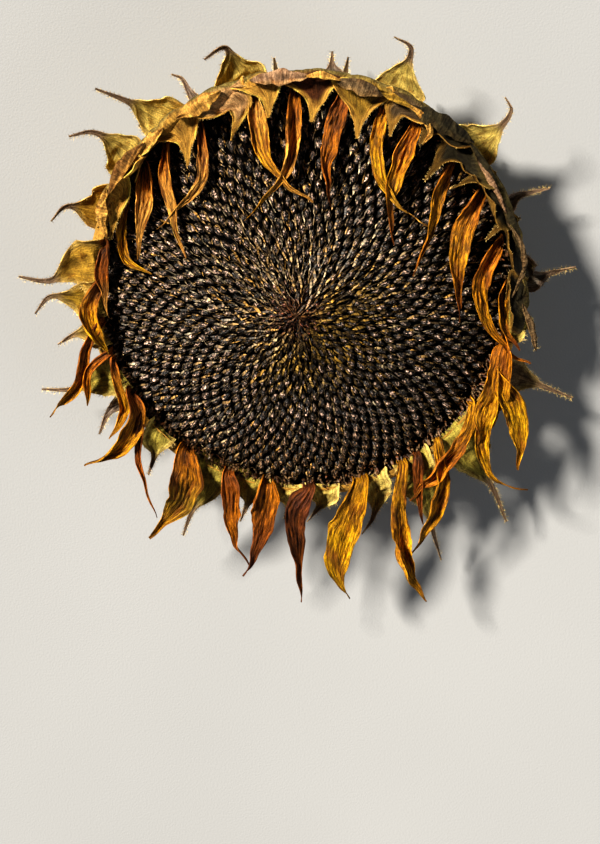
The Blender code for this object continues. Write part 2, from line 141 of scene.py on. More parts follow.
PETALS = (
    Petal(121, 6, ((-50, 66), (-51, 54), (-59, 43), (-73, 30)), 40, "rust apricot apricot", 0.62),
    Petal(132, 7, ((-68, 55), (-65, 40), (-59, 16)), -30, "orange apricot apricot", 0.6),
    Petal(141, 10, ((-78, 45), (-80, 31), (-82, 16)), 0, "orange apricot apricot"),
    Petal(150, 6, ((-90, 31), (-88, 17), (-75, 8)), 25, "gold gold yellow", 0.78),
    Petal(166, 8, ((-99, 8), (-96, -13)), 0, "brown rust tan"),
    Petal(177, 10, ((-106, -8), (-104, -19), (-96, -31)), 25, "rust gold yellow", 0.78),
    Petal(188, 7, ((-107, -27), (-112, -46), (-126, -61)), 30, "rust orange gold", 0.8),
    Petal(197, 5, ((-105, -38), (-107, -57)), 0, "rust orange gold", 0.8),
    Petal(199.5, 6, ((-91, -47), (-88, -58), (-96, -73)), -40, "rust gold gold", 0.78),
    Petal(210, 12, ((-83, -60), (-91, -76), (-109, -86)), 35, "rust gold gold", 0.66),
    Petal(217, 4.5, ((-82, -80), (-79, -94), (-73, -111)), 0, "brown rust orange", 0.5),
    Petal(233.5, 18, ((-59, -92), (-64, -107), (-77, -121)), 20, "orange olive gold"),
    Petal(247.5, 11, ((-36, -99), (-35, -120), (-28, -134)), -30, "rust orange rust", 0.52),
    Petal(259, 15, ((-20, -106), (-25, -130), (-31, -140)), 10, "orange rust plum", 0.5),
    Petal(271, 13, ((-4, -107), (-4, -127), (-2, -153)), 20, "plum brown rust", 0.46),
    Petal(286, 18, ((21, -113), (16, -137), (22, -152)), -8, "gold yellow yellow", 0.68),
    Petal(299, 11, ((46, -108), (48, -132), (60, -153)), 60, "gold gold gold", 0.74),
    Petal(304, 6, ((56, -101), (58, -115)), 0, "brown rust brown"),
    Petal(311, 9, ((67, -95), (61, -114), (51, -132)), 35, "gold gold gold", 0.7),
    Petal(326, 9, ((79, -70), (65, -88), (51, -103)), 12, "gold orange orange", 0.74),
    Petal(337, 13, ((102, -57), (105, -72), (105, -87)), 20, "gold yellow gold", 0.68),
    Petal(339, 9, ((91, -54), (87, -76), (94, -93), (109, -97)), -30, "gold yellow gold", 0.6),
    Petal(346, 16, ((94, -44), (89, -60), (83, -77)), 15, "orange gold gold", 0.78),
    Petal(3, 8, ((96, -11), (99, -21), (105, -29)), 20, "orange gold rust"),
    Petal(15.5, 10, ((86, 8), (87, -10), (97, -27), (110, -36)), 40, "orange gold orange", 0.5),
    Petal(31, 12, ((77, 30), (74, 8), (76, -15)), 15, "orange gold rust"),
    Petal(43.5, 8, ((65, 49), (61, 31), (52, 7)), 70, "orange gold orange"),
    Petal(57.5, 10, ((46, 63), (41, 45), (43, 22)), 25, "orange gold rust"),
    Petal(67.5, 8, ((35, 68), (38, 53), (48, 40), (63, 30)), -50, "gold yellow tan", 0.5),
    Petal(79.5, 10, ((12, 73), (10, 56), (12, 41)), 20, "rust orange rust"),
    Petal(93, 9, ((-7, 76), (-10, 58), (-17, 48), (-29, 35)), 50, "orange apricot gold", 0.52),
    Petal(104, 10, ((-20, 68), (-12, 55), (3, 43)), -35, "apricot gold apricot", 0.52),
)

OUTER_BRACTS = (
    Bract(107, 28, ((-34, 108), (-39, 118), (-49, 112)), -8, 0.5, "felt"),
    Bract(129, 24, ((-74, 86), (-84, 91), (-102, 98)), -8, 0.3, "felt"),
    Bract(143, 24, ((-91, 70), (-103, 77), (-115, 75)), -8, 0.3, "felt"),
    Bract(158, 26, ((-104, 40), (-117, 41), (-124, 34)), -8, 0.3, "amber"),
    Bract(172, 25, ((-113, 11), (-125, 5), (-140, 7)), tone="amber"),
    Bract(182, 18, ((-115, -3), (-125, -3), (-132, -11)), 0.5, 0.0, "olive"),
    Bract(191, 16, ((-112, -21), (-121, -26)), 0.5, -0.1, "olive"),
    Bract(204, 20, ((-101, -43), (-115, -48), (-129, -48)), 0.5, -0.3, "green"),
    Bract(225, 16, ((-74, -81), (-77, -90)), 0.5, -0.2, "green"),
    Bract(242, 20, ((-49, -98), (-56, -109), (-60, -120)), 0.5, -0.3, "green"),
    Bract(255, 18, ((-27, -101), (-32, -113)), 0.5, -0.3, "green"),
    Bract(265, 16, ((-8, -104), (-10, -112)), 0.5, -0.3, "felt"),
    Bract(275, 17, ((8, -104), (1, -113)), 0.5, -0.3, "felt"),
    Bract(289, 18, ((35, -103), (33, -112), (28, -119)), 0.5, -0.3, "felt"),
    Bract(302, 20, ((60, -104), (63, -118), (67, -132)), 0.5, -0.4, "green"),
    Bract(317, 24, ((83, -84), (92, -96), (99, -113)), 0.5, -0.3, "green"),
    Bract(337, 20, ((108, -43), (118, -47), (131, -52)), 0.5, -0.2, "bark"),
    Bract(351, 18, ((109, -16), (113, -28)), 0.5, 0.0, "green"),
    Bract(4, 20, ((111, 6), (120, 9), (132, 12)), -8, 0.3, "grey"),
    Bract(41, 26, ((86, 73), (96, 81), (100, 88), (97, 94)), -8, 0.5, "felt"),
    Bract(65, 26, ((48, 106), (51, 118), (43, 123)), -8, 0.5, "felt"),
    Bract(120, 9, ((-57, 98), (-60, 103), (-65, 105)), -12, 0.0, "grey"),
    Bract(83, 20, ((13, 108), (13, 116)), -7, 0.0, "grey"),
    Bract(22, 12, ((103, 46), (110, 48), (119, 50)), -12, 0.0, "grey"),
    Bract(212, 10, ((-96, -59), (-101, -70)), -6, -0.2, "grey"),
)

FOLDED_BRACTS = (
    Bract(358, 26, ((100, 8), (98, -4)), tone="shade"),
    Bract(14, 29, ((97, 33), (88, 25)), tone="shade"),
    Bract(27, 29, ((85, 55), (71, 50)), tone="shade"),
    Bract(39, 29, ((72, 69), (58, 54)), tone="shade"),
    Bract(51, 29, ((62, 80), (55, 71)), tone="shade"),
    Bract(62, 29, ((44, 88), (41, 75)), tone="bark"),
    Bract(75, 29, ((27, 93), (25, 74)), tone="amber"),
    Bract(88, 31, ((5, 95), (3, 82)), tone="brown"),
    Bract(101, 29, ((-18, 95), (-18, 84)), tone="ochre"),
    # partly painted light: this hollow's tone is a bright tan, lit beyond its own colour
    Bract(113, 29, ((-32, 90), (-36, 73)), tone="buff", hollow=1.5),
    Bract(126, 29, ((-59, 77), (-57, 61)), tone="ochre"),
    Bract(139, 26, ((-77, 71), (-83, 53)), tone="umber"),
    Bract(152, 26, ((-92, 45), (-95, 25)), tone="ochre"),
)

# Painted light and shade: how light a folded bract's margin and tail are beside those of the upper left,
# which face the light; those of the right face away and are painted in shade
FOLD_LIGHT = {"shade": 0.22, "bark": 0.6, "amber": 0.8}

BACK_ROW_COUNT = 18
BACK_ROW_WIDTH = 24.0
BACK_ROW_PATH = ((84.0, 13.0), (97.0, 13.5), (105.0, 14.0))
BACK_ROW_TIP = (111.0, 13.0)
BACK_ROW_TIP_SCATTER = (2.0, 3.0)
BACK_ROW_ANGLE_SCATTER = 0.2

# The backs that the upper side's folded bracts show, as arched strips: places as seen from the viewpoint,
# along the rim. lip is how much ochre its turned-up edge shows, partly its own pale edge and partly painted
# light;
# the strips on the right, which face away from the light, have a small lip and dark tones as painted shade.
FoldBack = namedtuple("FoldBack", "width path tone lip", defaults=(0.4,))
FOLD_BACKS = (
    FoldBack(6, ((-97, 26), (-100, 38), (-97, 50)), "tan"),
    FoldBack(7, ((-96, 47), (-89, 62), (-78, 72)), "umber"),
    FoldBack(6, ((-85, 61), (-77, 72), (-69, 79)), "tan"),
    FoldBack(9, ((-63, 84), (-52, 91), (-41, 97)), "tan"),
    FoldBack(8, ((-27, 102), (-13, 104.5), (2, 104)), "mauve"),
    FoldBack(3.5, ((0, 104), (8, 105), (17, 102)), "tan"),
    FoldBack(8.5, ((15, 102), (26, 100), (38, 95)), "bark", 0.15),
    FoldBack(3.5, ((37, 96), (45, 93), (52, 89)), "amber", 0.2),
    FoldBack(10, ((49, 90), (66, 83), (82, 72)), "shade", 0.05),
    FoldBack(3.5, ((49, 91), (57, 85), (61, 77), (57, 71)), "tan", 0.2),
    FoldBack(5, ((80, 72), (88, 60), (95, 46)), "shade", 0.05),
    FoldBack(3, ((84, 63), (92, 51), (98, 38)), "mauve", 0.1),
    FoldBack(5, ((94, 46), (101, 34), (105, 20)), "shade", 0.05),
    FoldBack(3, ((98, 34), (105, 24), (107, 12), (101, -3)), "bark", 0.05),
    FoldBack(4, ((106, -6), (111, -18), (113, -29)), "bark", 0.05),
)
FOLD_BACK_CLEARANCE = 11.5
FOLD_SKIRT = 9.0  # how far a strip's outer edge hangs down
FOLD_STEP = 1.6  # every other strip lies this much higher

# Fine detail that the solids leave out
SEED_COUNT = 1210
# Rings of a seed from its top down: reach as a share of its size, and drop for a seed of pitch 5.5
SEED_RINGS = ((0.30, -0.04), (0.58, -0.22), (0.80, -0.60), (0.95, -1.25), (1.0, -2.3), (0.88, -4.6))
SEED_SIDES = 12
COMMON_PITCH = 5.5
SEED_LENGTH_SHARE = 0.64  # of the seed's own pitch, from its middle to its point
SEED_WIDTH_SHARE = 0.345
SEED_OUTLINE_POWERS = (1.25, 1.35)  # above 1 they draw a seed's outline in to its point and its flanks
SEED_TILT = 0.06  # scatter of a seed's turn and lean, in radians
SEED_SIZE_SCATTER = (0.05, 0.07)
SEED_ROUGHNESS = 0.09
FLANK_SHADE = 0.95  # how quickly painted shade darkens a seed downwards, into the gaps between the seeds
BED_DEPTH = 3.6  # the bed below the seeds' tops, nearly black as painted shade in the gaps
BED_RINGS = 24
BED_SEGMENTS = 120
CHAFF_POINTS = 2
PETAL_STEP = 0.92  # between rows
PETAL_THICKNESS = 0.3
PETAL_COLUMNS = 21
SLIM_PETAL_COLUMNS = 15  # of a petal up to this width
SLIM_PETAL_WIDTH = 7.0
RIB_PITCH = 2.4
RIB_HEIGHT = 0.36
PETAL_CRUMPLE = 0.26
EDGE_CURL = 1.7  # how far a petal's edges stand up, and then how far one rises and the other sinks
EDGE_ROLL = 1.4
PETAL_TIP_TURN = 110  # the most that a tip is turned, in degrees
BRACT_STEP = 0.95
BRACT_COLUMNS = 19
BRACT_THICKNESS = 0.45
BRACT_TAIL_TURN = 200
FOLDED_ROLL = -2.6  # the margins of a folded bract turn down and its middle stands up
FOLDED_HOLD = 0.5
LIP_WIDTH = 2.6  # the turned-up margin of a bract
HAIRS_PER_STEP = 2
HAIR_WIDTH = 0.2
OUTER_HAIR_LENGTH = 2.6
FOLDED_HAIR_LENGTH = 1.2
FOLD_BACK_STEP = 0.9
FOLD_BACK_COLUMNS = 15
GRAIN_SPACING = 10.0  # sets the grain of one blade apart from that of the next
FIRST_FOLDED = 40  # numbers of the blades in their grain
FIRST_BACK_ROW = 60
FIRST_FOLD_BACK = 80
COLLAR_FLORETS = 1500
PITH_RADIUS = 12.0
BODY_SEGMENTS = 288
BODY_RINGS = 60


def tone(name):
    return np.array(TONES[name])


def blend(first, second, share):
    """first where the share is 0, second where it is 1."""
    return first * (1 - share) + second * share


def climb(values, start, end):
    """From 0 at start to 1 at end, and level beyond them."""
    return np.clip((values - start) / (end - start), 0, 1)


def unit(rows):
    return rows / np.linalg.norm(rows, axis=-1, keepdims=True)


def polar(angle, radius, height):
    return Vector((radius * math.cos(angle), radius * math.sin(angle), height))


def dome_height(radius):
    return RIM_HEIGHT + DOME_HEIGHT * (1 - (radius / DISC_RADIUS) ** 2)


def top_height(radius):
    """The highest part of the seeds and rim at this radius, falling away outside the rim."""
    crest = RIM_HEIGHT + CREST - RIM_FALL * max(0.0, radius - RIM_RADIUS)
    return max(dome_height(radius), crest)


def back_radius(height):
    """How far out the receptacle's back is at this height, up to its rim."""
    radii, heights = zip(*BACK_PROFILE[:-1])
    return float(np.interp(height, heights, radii))


def viewpoint():
    eye = Vector((0, math.sin(VIEW_TILT), math.cos(VIEW_TILT))) * VIEW_DISTANCE
    eye.z += RIM_HEIGHT
    return eye


def face_point(x, y):
    """A place on the face as seen from the viewpoint, on the plane of the rim square to the view."""
    return Vector((x, y * math.cos(VIEW_TILT), RIM_HEIGHT - y * math.sin(VIEW_TILT)))


def seen_at(x, y, height_at):
    """The point that is seen at (x, y) from the viewpoint and lies at the height for its radius."""
    eye = viewpoint()
    target = face_point(x, y)
    point = target
    for _ in range(6):
        height = height_at(math.hypot(point.x, point.y))
        point = eye.lerp(target, (eye.z - height) / (eye.z - target.z))
    return point


def slope(given, spans, index):
    """The curve's direction and speed at a given point."""
    before, after = spans[index - 1], spans[index]
    arriving = (given[index] - given[index - 1]) / before
    leaving = (given[index + 1] - given[index]) / after
    return arriving + leaving - (given[index + 1] - given[index - 1]) / (before + after)


def smooth_path(points, step):
    """Evenly spaced points on a centripetal Catmull-Rom curve through the given ones."""
    given = np.array([points[0] * 2 - points[1], *points, points[-1] * 2 - points[-2]])
    spans = np.sqrt(np.linalg.norm(np.diff(given, axis=0), axis=1))
    fine = []
    for index in range(1, len(given) - 2):
        start, end = given[index], given[index + 1]
        leave = slope(given, spans, index) * spans[index]
        arrive = slope(given, spans, index + 1) * spans[index]
        for t in np.arange(32) / 32:
            ease = t * t * (3 - 2 * t)
            pull = t * (1 - t) * (leave * (1 - t) - arrive * t)
            fine.append(start + (end - start) * ease + pull)
    fine = np.array([*fine, given[-2]])
    travelled = np.concatenate([[0], np.cumsum(np.linalg.norm(np.diff(fine, axis=0), axis=1))])
    wanted = np.linspace(0, travelled[-1], round(travelled[-1] / step) + 1)
    return np.stack([np.interp(wanted, travelled, fine[:, axis]) for axis in range(3)], axis=1)


def softened(values, rounds):
    """Values smoothed along the first axis, with their ends kept."""
    for _ in range(rounds):
        inner = (values[:-2] + 2 * values[1:-1] + values[2:]) / 4
        values = np.concatenate([values[:1], inner, values[-1:]])
    return values


def ripple(draw, *places, waves=5, low=0.6, high=1.8):
    """A smooth uneven pattern from about -1 to 1: waves of random pitch, direction and phase.

    A place in millimetres divided by n gives waves that are about 5 n millimetres long.
    """
    total = 0
    for _ in range(waves):
        phase = draw.uniform(0, 2 * math.pi)
        for place in places:
            phase = phase + place * draw.uniform(low, high) * draw.choice((-1, 1))
        total = total + np.sin(phase)
    return total / math.sqrt(waves)


def crease(draw, *places, **pitch):
    """Like ripple, but with sharp ridges."""
    return 1 - 2 * np.minimum(abs(ripple(draw, *places, **pitch)), 1.0)


class Piece:
    """Gathers the points, faces and colours of one piece, and the place of each point in its grain."""

    def __init__(self):
        self.points = []
        self.faces = []
        self.tints = []
        self.grains = []
        self.count = 0

    def add(self, points, faces, tints, grains):
        """points, tints and grains (across, along, kind) have three columns, and faces are triangles."""
        points = np.asarray(points).reshape(-1, 3)
        self.points.append(points)
        self.faces.append(np.asarray(faces) + self.count)
        self.tints.append(np.broadcast_to(tints, points.shape))
        self.grains.append(np.broadcast_to(grains, points.shape))
        self.count += len(points)

    def add_sheet(self, sheet, thickness, tints, grain_across, grain_along, index):
        """Adds a thin blade from its middle surface. index sets its grain apart from other blades."""
        number = np.full_like(grain_along, GRAIN_SPACING * index)
        grains = np.stack([grain_across, grain_along, number], axis=-1)
        twice = [np.concatenate([values.reshape(-1, 3)] * 2) for values in (tints, grains)]
        self.add(thick(sheet, thickness), strip_faces(*sheet.shape[:2]), *twice)

    def build(self, name, material, node, sharp=40):
        """Makes the mesh, with its tints and grains as attributes, attaches it to the root body and hides the
        model's part that it stands for.
        """
        points = np.concatenate(self.points) * MM
        faces = np.concatenate(self.faces)
        mesh = bpy.data.meshes.new(name)
        mesh.from_pydata(points.tolist(), [], faces.tolist())
        mesh.shade_smooth()
        mesh.set_sharp_from_angle(angle=math.radians(sharp))
        tints = np.clip(np.concatenate(self.tints), 0.0, 1.0)
        tints = np.concatenate([tints, np.ones((len(tints), 1))], axis=1)
        colours = mesh.color_attributes.new("tint", "FLOAT_COLOR", "POINT")
        colours.data.foreach_set("color", tints.astype(np.float32).ravel())
        grain = mesh.attributes.new("grain", "FLOAT_VECTOR", "POINT")
        grain.data.foreach_set("vector", np.concatenate(self.grains).astype(np.float32).ravel())
        mesh.materials.append(material)
        obj = bpy.data.objects.new(name, mesh)
        bpy.context.scene.collection.objects.link(obj)
        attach(obj, "root")
        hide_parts(node)


def strip_faces(rows, columns):
    """Triangles of a closed thin sheet whose front points come first, row by row, and then its back."""
    row, column = np.mgrid[: rows - 1, : columns - 1]
    a = (row * columns + column).ravel()
    b, c, d = a + 1, a + columns + 1, a + columns
    back = rows * columns
    front = [np.stack([a, b, c], 1), np.stack([a, c, d], 1)]
    behind = [np.stack([c, b, a], 1) + back, np.stack([d, c, a], 1) + back]
    last = (rows - 1) * columns
    rim = [*range(columns)]
    rim += [row * columns + columns - 1 for row in range(1, rows)]
    rim += [last + column for column in reversed(range(columns - 1))]
    rim += [row * columns for row in reversed(range(1, rows - 1))]
    here = np.array(rim)
    after = np.roll(here, -1)
    sides = [np.stack([after, here, here + back], 1), np.stack([after, here + back, after + back], 1)]
    return np.concatenate(front + behind + sides)


def ring_grid(radii, heights, segments):
    """Radius, angle and height of every point on rings of these radii and heights."""
    theta = 2 * math.pi * np.arange(segments) / segments
    radius, angle = np.meshgrid(radii, theta, indexing="ij")
    height, _ = np.meshgrid(heights, theta, indexing="ij")
    return radius, angle, height


def ring_faces(rings, segments):
    """Triangles between closed rings of points, facing outwards where the rings climb anticlockwise."""
    row, column = np.mgrid[: rings - 1, :segments]
    a = (row * segments + column).ravel()
    b = (row * segments + (column + 1) % segments).ravel()
    c, d = b + segments, a + segments
    return np.concatenate([np.stack([a, b, c], 1), np.stack([a, c, d], 1)])


def blade_sheet(spine, angle, reach, heights, settling, twists, hold=0.0):
    """The middle surface of a blade, from sideways reach and height for each row and column.

    The blade is rooted across the direction of angle and then lies level, turned by twists in degrees.
    hold is the share of the root's own sideways direction that a folded blade keeps.
    """
    along = len(spine)
    tangents = unit(np.gradient(spine, axis=0))
    step = np.linalg.norm(spine[1] - spine[0])
    outwards = np.array((math.cos(angle), math.sin(angle), 0))
    inward = hold == 0 and np.dot(spine[along // 2] - spine[0], outwards) < 0
    side = np.cross((0, 0, 1), outwards) * (1 if inward else -1)
    rooted = side
    settled = 1 - math.exp(-step / settling)
    sheet = np.empty((*reach.shape, 3))
    for row, tangent in enumerate(tangents):
        side = unit(side - tangent * np.dot(side, tangent))
        level = np.cross(tangent, (0, 0, 1))
        side = unit(side + (level - side) * np.linalg.norm(level) * settled)
        up = np.cross(side, tangent)
        turn = math.radians(twists[row])
        across_way = side * math.cos(turn) + up * math.sin(turn)
        up_way = up * math.cos(turn) - side * math.sin(turn)
        across_way = across_way * (1 - hold) + rooted * hold
        sheet[row] = spine[row] + np.outer(reach[row], across_way) + np.outer(heights[row], up_way)
    return sheet


def blade_grid(spine, columns):
    """Each row's share of the length and its millimetres from the root, then three grids: the share,
    the place across from -1 to 1, and the millimetres."""
    share = np.linspace(0, 1, len(spine))
    run = share * np.sum(np.linalg.norm(np.diff(spine, axis=0), axis=1))
    along, across = np.meshgrid(share, np.linspace(-1, 1, columns), indexing="ij")
    far, _ = np.meshgrid(run, across[0], indexing="ij")
    return share, run, along, across, far


def thick(sheet, thickness):
    """Front and back points of a sheet."""
    normals = unit(np.cross(np.gradient(sheet, axis=1), np.gradient(sheet, axis=0)))
    half = normals * thickness / 2
    return np.concatenate([(sheet + half).reshape(-1, 3), (sheet - half).reshape(-1, 3)])


def spikes(piece, bases, ways, ups, lengths, widths, fold, bend, root_tints, tip_tints, profile, sway=0.0):
    """Adds many pointed scales or hairs, each folded along its middle and bent towards its up side.

    All but fold, bend and profile hold one row for each spike. profile gives the width at even steps
    from the root, before the point, and sway how far it snakes sideways, as a share of its length.
    """
    count = len(bases)
    steps = len(profile)
    ways = unit(ways)
    sides = unit(np.cross(ways, ups))
    ups = np.cross(sides, ways)
    shares = np.arange(steps) / steps
    corners = np.array([(-1, 0), (0, -fold - 0.18), (1, 0), (0, -fold + 0.18)])
    points = np.empty((count, steps * 4 + 1, 3))
    for step, share in enumerate(shares):
        rise = bend * share**2
        snake = sides * sway * math.sin(2 * math.pi * share)
        middle = bases + (ways * share + ups * rise + snake) * lengths[:, None]
        half = (widths * profile[step] / 2)[:, None]
        for corner, (across, over) in enumerate(corners):
            points[:, step * 4 + corner] = middle + half * (sides * across + ups * over)
    points[:, -1] = bases + (ways + ups * bend) * lengths[:, None]
    faces = [(0, 1, 2), (0, 2, 3)]
    for step in range(steps - 1):
        for corner in range(4):
            a = step * 4 + corner
            b = step * 4 + (corner + 1) % 4
            faces += [(a, a + 4, b), (b, a + 4, b + 4)]
    last = (steps - 1) * 4
    tip = steps * 4
    faces += [(last + corner, tip, last + (corner + 1) % 4) for corner in range(4)]
    every = np.array(faces)[None] + (np.arange(count) * (tip + 1))[:, None, None]
    along = np.append(np.repeat(shares, 4), 1.0)[None, :, None]
    tints = blend(root_tints[:, None], tip_tints[:, None], along)
    grains = np.zeros((count, tip + 1, 3))
    grains[..., 1] = along[..., 0] * lengths[:, None]
    grains[..., 2] = np.arange(count)[:, None]
    piece.add(points.reshape(-1, 3), every.reshape(-1, 3), tints.reshape(-1, 3), grains.reshape(-1, 3))


class Paint:
    """A material's nodes, with short ways to add one."""

    def __init__(self, name, roughness, specular=0.3):
        self.material = bpy.data.materials.new(name)
        self.material.use_nodes = True
        self.tree = self.material.node_tree
        self.shader = self.tree.nodes["Principled BSDF"]
        self.shader.inputs["Roughness"].default_value = roughness
        self.shader.inputs["Specular IOR Level"].default_value = specular

    def feed(self, socket, value):
        if isinstance(value, bpy.types.NodeSocket):
            self.tree.links.new(value, socket)
        elif isinstance(value, (tuple, list, np.ndarray)) and socket.type == "RGBA":
            socket.default_value = (*value, 1.0)
        else:
            socket.default_value = value

    def attribute(self, name, output):
        node = self.tree.nodes.new("ShaderNodeAttribute")
        node.attribute_name = name
        return node.outputs[output]

    def grain_noise(self, stretch, detail, roughness=0.5, distortion=0.0):
        """Noise in the mesh's own grain. stretch is its frequency across, along and from blade to blade."""
        node = self.tree.nodes.new("ShaderNodeMapping")
        self.feed(node.inputs["Vector"], self.attribute("grain", "Vector"))
        node.inputs["Scale"].default_value = stretch
        return self.noise(node.outputs["Vector"], 1.0, detail, roughness, distortion)

    def noise(self, vector, scale, detail, roughness, distortion=0.0):
        node = self.tree.nodes.new("ShaderNodeTexNoise")
        self.feed(node.inputs["Vector"], vector)
        self.feed(node.inputs["Scale"], scale)
        self.feed(node.inputs["Detail"], detail)
        self.feed(node.inputs["Roughness"], roughness)
        self.feed(node.inputs["Distortion"], distortion)
        return node.outputs["Fac"]

    def ramp(self, value, *stops):
        """stops are (place, grey level or colour)."""
        node = self.tree.nodes.new("ShaderNodeValToRGB")
        self.feed(node.inputs["Fac"], value)
        elements = node.color_ramp.elements
        while len(elements) < len(stops):
            elements.new(0.5)
        for element, (place, level) in zip(elements, stops):
            element.position = place
            element.color = (*level, 1) if isinstance(level, (tuple, np.ndarray)) else (level,) * 3 + (1,)
        return node.outputs["Color"]

    def mix(self, kind, share, first, second):
        node = self.tree.nodes.new("ShaderNodeMix")
        node.data_type = "RGBA"
        node.blend_type = kind
        self.feed(node.inputs[0], share)
        self.feed(node.inputs[6], first)
        self.feed(node.inputs[7], second)
        return node.outputs[2]

    def shaded(self, colour, value, *stops):
        """The colour times a ramp of the value."""
        return self.mix("MULTIPLY", 1.0, colour, self.ramp(value, *stops))

    def bump(self, height, depth, before=None):
        """depth is in metres."""
        node = self.tree.nodes.new("ShaderNodeBump")
        self.feed(node.inputs["Height"], height)
        node.inputs["Distance"].default_value = depth
        if before is not None:
            self.feed(node.inputs["Normal"], before)
        return node.outputs["Normal"]

    def finish(self, colour, normal, roughness=None):
        self.feed(self.shader.inputs["Base Color"], colour)
        self.feed(self.shader.inputs["Normal"], normal)
        if roughness is not None:
            self.feed(self.shader.inputs["Roughness"], roughness)
        return self.material


def petal_paint():
    """Papery, with long fibres that darken in streaks, and small brown flecks."""
    paint = Paint("dry_petal_fine", 0.5, 0.14)
    fibres = paint.grain_noise((1.0, 0.10, 1.0), 5.0, 0.65, 0.3)
    fine = paint.grain_noise((3.0, 0.30, 1.0), 3.0, 0.65)
    blotches = paint.grain_noise((0.35, 0.10, 1.0), 4.0, 0.6)
    flecks = paint.grain_noise((1.0, 0.6, 1.0), 3.0, 0.7)
    colour = paint.shaded(paint.attribute("tint", "Color"), fibres, (0.38, 0.16), (0.49, 0.85), (0.62, 1.45))
    stained = paint.ramp(blotches, (0.50, 0.0), (0.66, 0.65))
    colour = paint.mix("MIX", stained, colour, tone("rust") * 0.8)
    flecked = paint.ramp(flecks, (0.60, 0.0), (0.70, 0.7))
    colour = paint.mix("MIX", flecked, colour, tone("brown"))
    colour = paint.shaded(colour, fine, (0.40, 0.40), (0.60, 1.35))
    normal = paint.bump(fine, 0.0005, paint.bump(fibres, 0.0018))
    return paint.finish(colour, normal, paint.ramp(blotches, (0.35, 0.38), (0.7, 0.62)))


def bract_paint():
    """Leathery and felted, with fine veins along it and a grainy surface."""
    paint = Paint("dry_bract_fine", 0.7, 0.14)
    veins = paint.grain_noise((0.9, 0.09, 1.0), 4.0, 0.6, 0.3)
    mottle = paint.grain_noise((0.30, 0.22, 1.0), 5.0, 0.62)
    grit = paint.grain_noise((1.5, 1.2, 1.0), 4.0, 0.7)
    colour = paint.shaded(paint.attribute("tint", "Color"), veins, (0.34, 0.50), (0.66, 1.3))
    mottled = paint.ramp(mottle, (0.48, 0.0), (0.66, 0.9))
    colour = paint.mix("MULTIPLY", mottled, colour, (0.50, 0.38, 0.28))
    colour = paint.shaded(colour, grit, (0.34, 0.45), (0.62, 1.3))
    return paint.finish(colour, paint.bump(grit, 0.0009, paint.bump(veins, 0.0010)))


def seed_paint():
    """A hard wrinkled hull, nearly black, with a grey bloom, and bright specks on what stands up that are
    partly pale flecks of the hull and partly painted glints.
    """
    paint = Paint("seed_hull_fine", 0.4, 0.55)
    wrinkles = paint.grain_noise((1.0, 0.6, 7.3), 1.5, 0.5, 0.5)
    rough = paint.grain_noise((1.5, 0.9, 7.3), 1.5)
    colour = paint.shaded(paint.attribute("tint", "Color"), wrinkles, (0.40, 0.06), (0.60, 1.2))
    # bright specks on the raised peaks of the rough noise, partly pale flecks of the hull and partly painted
    # glints
    colour = paint.shaded(colour, rough, (0.42, 0.08), (0.53, 0.5), (0.60, 2.0), (0.67, 4.6))
    normal = paint.bump(rough, 0.0012, paint.bump(wrinkles, 0.0016))
    return paint.finish(colour, normal, paint.ramp(rough, (0.3, 0.58), (0.7, 0.28)))


def chaff_paint():
    """Dry and streaked, for scales, florets and hairs."""
    paint = Paint("chaff_fine", 0.5, 0.4)
    streaks = paint.grain_noise((2.0, 0.8, 3.1), 1.5)
    colour = paint.shaded(paint.attribute("tint", "Color"), streaks, (0.42, 0.15), (0.60, 1.7))
    return paint.finish(colour, paint.bump(streaks, 0.0005))


def back_paint(name, specular=0.2):
    """Dried skin, wrinkled and grainy."""
    paint = Paint(name, 0.8, specular)
    wrinkles = paint.grain_noise((0.55, 0.12, 1.0), 5.0, 0.6, 0.4)
    grit = paint.grain_noise((1.8, 1.8, 1.0), 4.0, 0.65)
    colour = paint.shaded(paint.attribute("tint", "Color"), wrinkles, (0.32, 0.55), (0.68, 1.25))
    colour = paint.shaded(colour, grit, (0.3, 0.7), (0.7, 1.2))
    return paint.finish(colour, paint.bump(grit, 0.0005, paint.bump(wrinkles, 0.0012)))


def seed_places():
    """Seed centres on a golden-angle spiral, and how far out each is as a share of the disc's radius."""
    index = np.arange(SEED_COUNT)
    share = ((index + 0.5) / SEED_COUNT) ** SPREAD_POWER
    angle = index * GOLDEN_ANGLE
    pull = 1 - share**2
    radius = DISC_RADIUS * SEED_REACH * share
    x = radius * np.cos(angle) + SPIRAL_CENTRE[0] * pull
    y = radius * np.sin(angle) + SPIRAL_CENTRE[1] * pull
    return np.stack([x, y], axis=1), share, angle


def seed_frames():
    """Where each seed's top is, with its outward, sideways and upright directions and its pitch."""
    flat, share, angle = seed_places()
    radius = np.linalg.norm(flat, axis=1)
    height = RIM_HEIGHT + DOME_HEIGHT * (1 - (radius / DISC_RADIUS) ** 2)
    tops = np.column_stack([flat, height])
    fall = 2 * DOME_HEIGHT / DISC_RADIUS**2
    normals = unit(np.column_stack([flat * fall, np.ones(SEED_COUNT)]))
    out = np.column_stack([np.cos(angle), np.sin(angle), np.zeros(SEED_COUNT)])
    out = unit(out - normals * np.sum(out * normals, axis=1, keepdims=True))
    side = np.cross(normals, out)
    density = SEED_COUNT / (2 * math.pi * SPREAD_POWER * DISC_RADIUS**2)
    pitch = 1 / np.sqrt(density * np.maximum(share, 0.03) ** (1 / SPREAD_POWER - 2))
    return tops, out, side, normals, pitch, share


